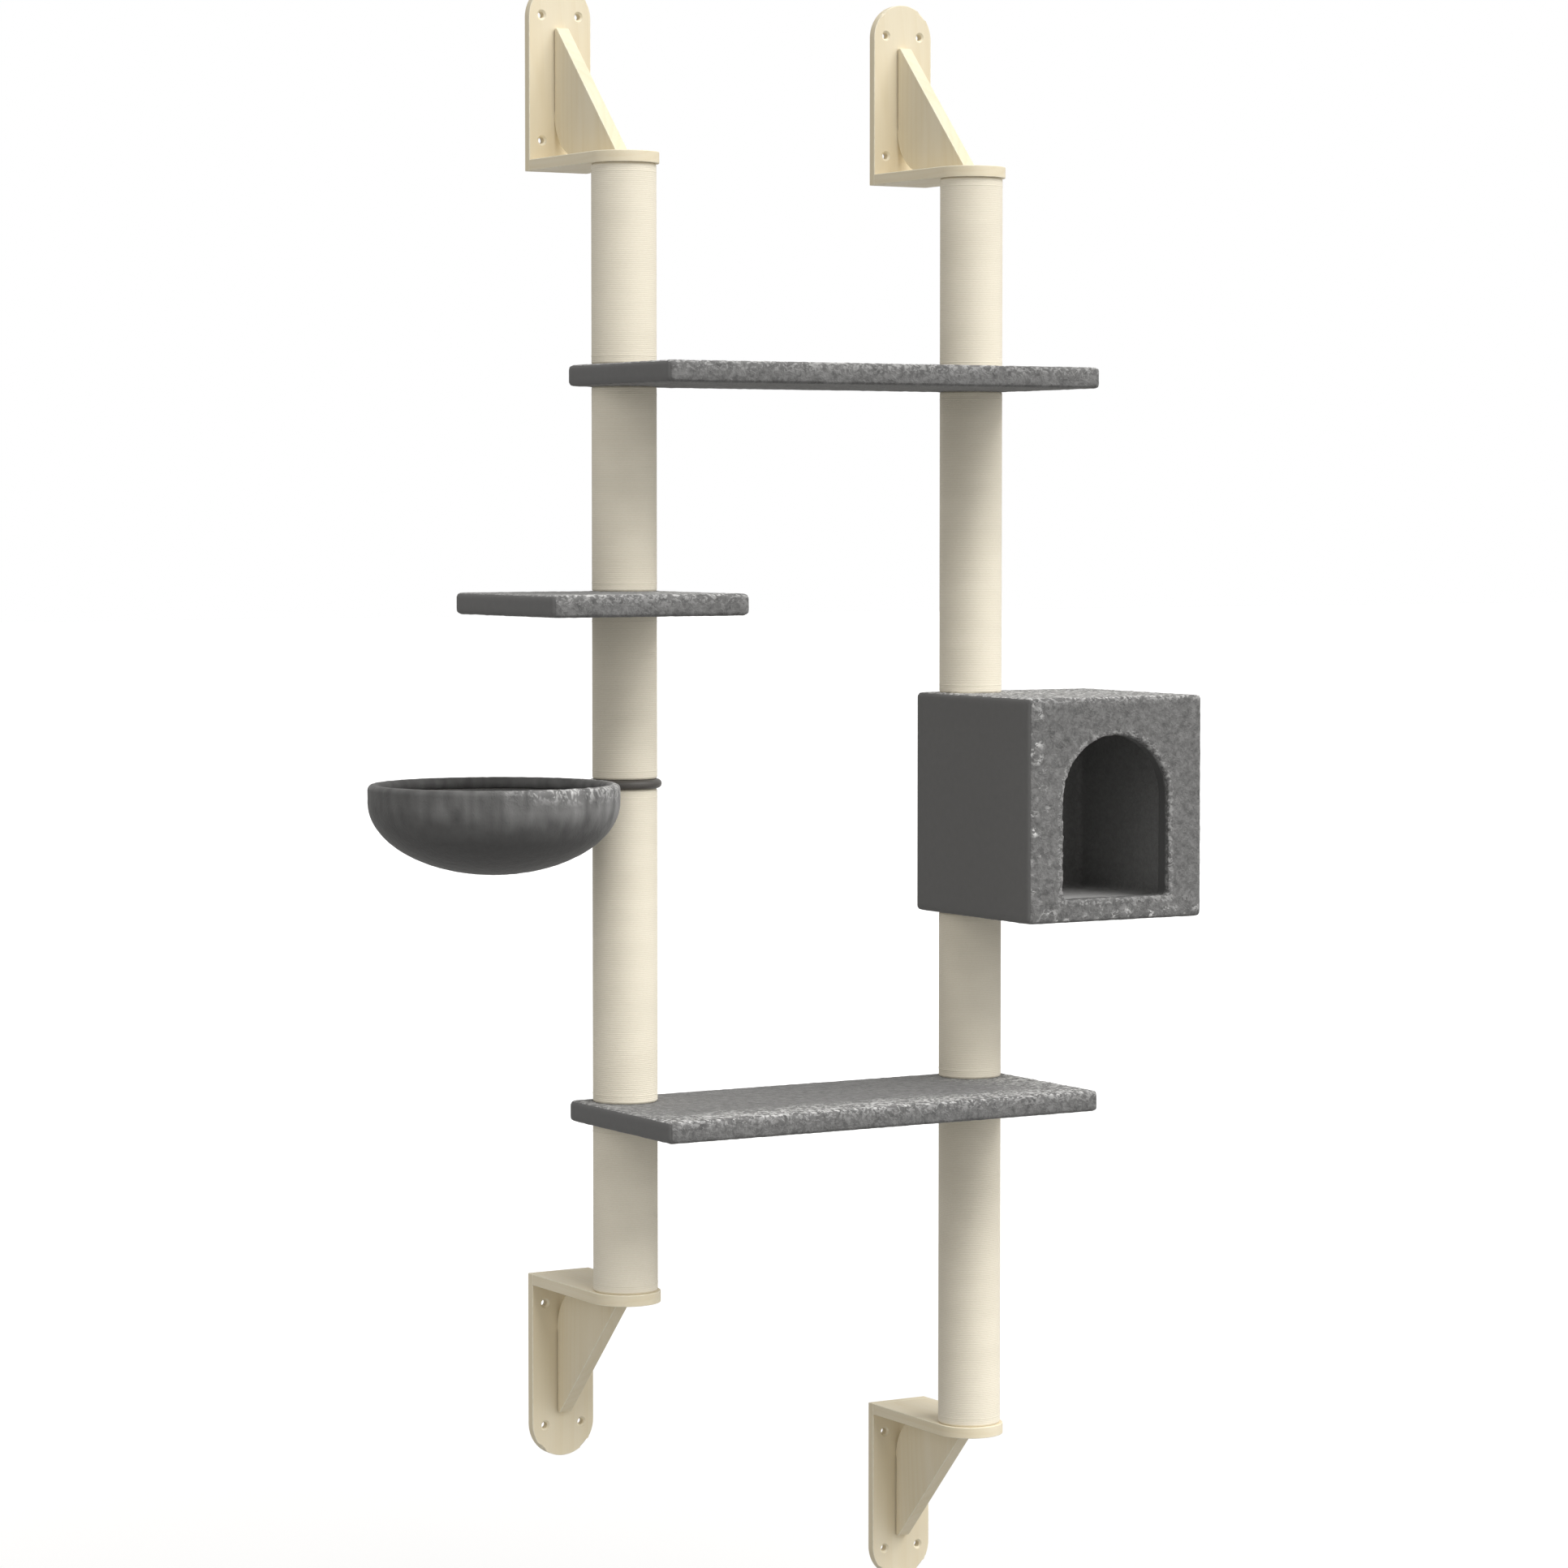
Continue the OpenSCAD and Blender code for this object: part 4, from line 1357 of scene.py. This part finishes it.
@dataclass
class Studio:
    """The pale floor, the soft lamps, the surrounding light and the camera."""

    floor_z: float = -2.2
    floor_size: float = 60.0
    floor_shade: float = 0.36
    floor_glow: tuple[float, float] = (0.62, 0.90)
    floor_near: tuple[float, float] = (2.5, 7.0)
    ambient: float = 0.38
    lamps: tuple[Lamp, ...] = (
        Lamp("front_lamp", 0.0, 50.0, 0.46, 28.0),
        Lamp("right_lamp", 45.0, 50.0, 0.33, 28.0),
        Lamp("low_lamp", 30.0, 5.0, 0.33, 70.0),
        Lamp("left_lamp", -80.0, 20.0, 0.12, 60.0),
    )
    aim: tuple[float, float, float] = (0.25, -0.2, -0.9)
    camera_at: tuple[float, float, float] = (-2.7404, -5.1674, -0.5324)
    camera_yaw: float = math.radians(30.71)
    camera_pitch: float = math.radians(2.848)
    camera_shift: float = -0.0259
    lens: float = 107.726
    sensor: float = 36.0
    seen: tuple[float, float] = (0.05, 200.0)

    def build(self) -> None:
        """Builds the studio round the tree."""
        self.world()
        self.floor()
        for lamp in self.lamps:
            self.light(lamp)
        self.camera()
        bpy.context.scene.view_settings.view_transform = "Standard"

    @staticmethod
    def seen_share(wires: Wires) -> Socket:
        """Makes a share that is 1 for rays from the camera, from gloss and through glass, and returns it."""
        path = wires.add("LightPath").outputs
        both = wires.math("MAXIMUM", path["Is Camera Ray"], path["Is Glossy Ray"])
        return wires.math("MAXIMUM", both, path["Is Transmission Ray"])

    def world(self) -> None:
        """Makes the surrounding light, and a white background where it is looked at."""
        world = bpy.data.worlds.new("Studio")
        bpy.context.scene.world = world
        wires = fresh(world)
        soft = wires.add("Background", {"Color": (1.0, 0.98, 0.945, 1.0), "Strength": self.ambient})
        white = wires.add("Background", {"Color": (1.0, 1.0, 1.0, 1.0), "Strength": 1.0})
        mixed = wires.add("MixShader", {0: self.seen_share(wires), 1: soft.outputs[0], 2: white.outputs[0]})
        wires.add("OutputWorld", {"Surface": mixed.outputs[0]})

    def floor(self) -> None:
        """Makes the pale floor, which keeps the tree's shadow."""
        shape = bmesh.new()
        bmesh.ops.create_grid(shape, x_segments=1, y_segments=1, size=self.floor_size,
                              matrix=Matrix.Translation((0.0, 0.0, self.floor_z)))
        mesh = bpy.data.meshes.new("studio_floor")
        shape.to_mesh(mesh)
        shape.free()
        material = bpy.data.materials.new("Pale floor")
        wires = fresh(material)
        plain = wires.add("BsdfDiffuse", {"Color": (self.floor_shade,) * 3 + (1.0,)})
        far = wires.vector("LENGTH", {0: wires.add("TexCoord").outputs["Object"]})[1]
        shine = wires.band(far, *self.floor_near, *self.floor_glow)
        glow = wires.add("Emission", {"Color": (1.0, 1.0, 1.0, 1.0),
                                      "Strength": wires.math("MULTIPLY", self.seen_share(wires), shine)})
        both = wires.add("AddShader", {0: plain.outputs[0], 1: glow.outputs[0]})
        wires.add("OutputMaterial", {"Surface": both.outputs[0]})
        mesh.materials.append(material)
        added("studio_floor", mesh)

    def light(self, lamp: Lamp) -> None:
        """Makes a lamp that lights every height of the tree alike."""
        data = bpy.data.lights.new(lamp.name, "SUN")
        data.angle = math.radians(lamp.width)
        data.energy = math.pi * lamp.share
        data.color = (1.0, 0.99, 0.97)
        piece = added(lamp.name, data)
        piece.location = self.aim
        piece.rotation_euler = lamp.towards().to_track_quat("Z", "Y").to_euler()

    def camera(self) -> None:
        """Sets the camera at the photograph's angle."""
        view = bpy.data.cameras.new("camera")
        view.lens = self.lens
        view.sensor_width = self.sensor
        view.shift_y = self.camera_shift
        view.clip_start, view.clip_end = self.seen
        eye = added("camera", view)
        eye.location = self.camera_at
        eye.rotation_euler = (math.pi / 2 - self.camera_pitch, 0.0, -self.camera_yaw)
        bpy.context.scene.camera = eye


def main() -> None:
    """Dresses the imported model, piece by piece, and sets up the studio."""
    logging.basicConfig(level=logging.INFO, format="%(name)s %(message)s", force=True)
    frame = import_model()
    finishes = Finishes()
    left, right = (0.0, -0.175), (0.5, -0.175)
    parts = {
        "brackets": Brackets(),
        "left post": Post("left", 5),
        "right post": Post("right", 4),
        "top shelf": Shelf("top", [left, right]),
        "small shelf": Shelf("small", [left]),
        "lower shelf": Shelf("lower", [left, right]),
        "house": House(),
        "basket": Basket(),
    }
    for name, part in parts.items():
        LOG.info("%s: %d pieces", name, part.build(frame, finishes))
    Studio().build()
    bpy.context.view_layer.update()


if __name__ == "__main__":
    main()
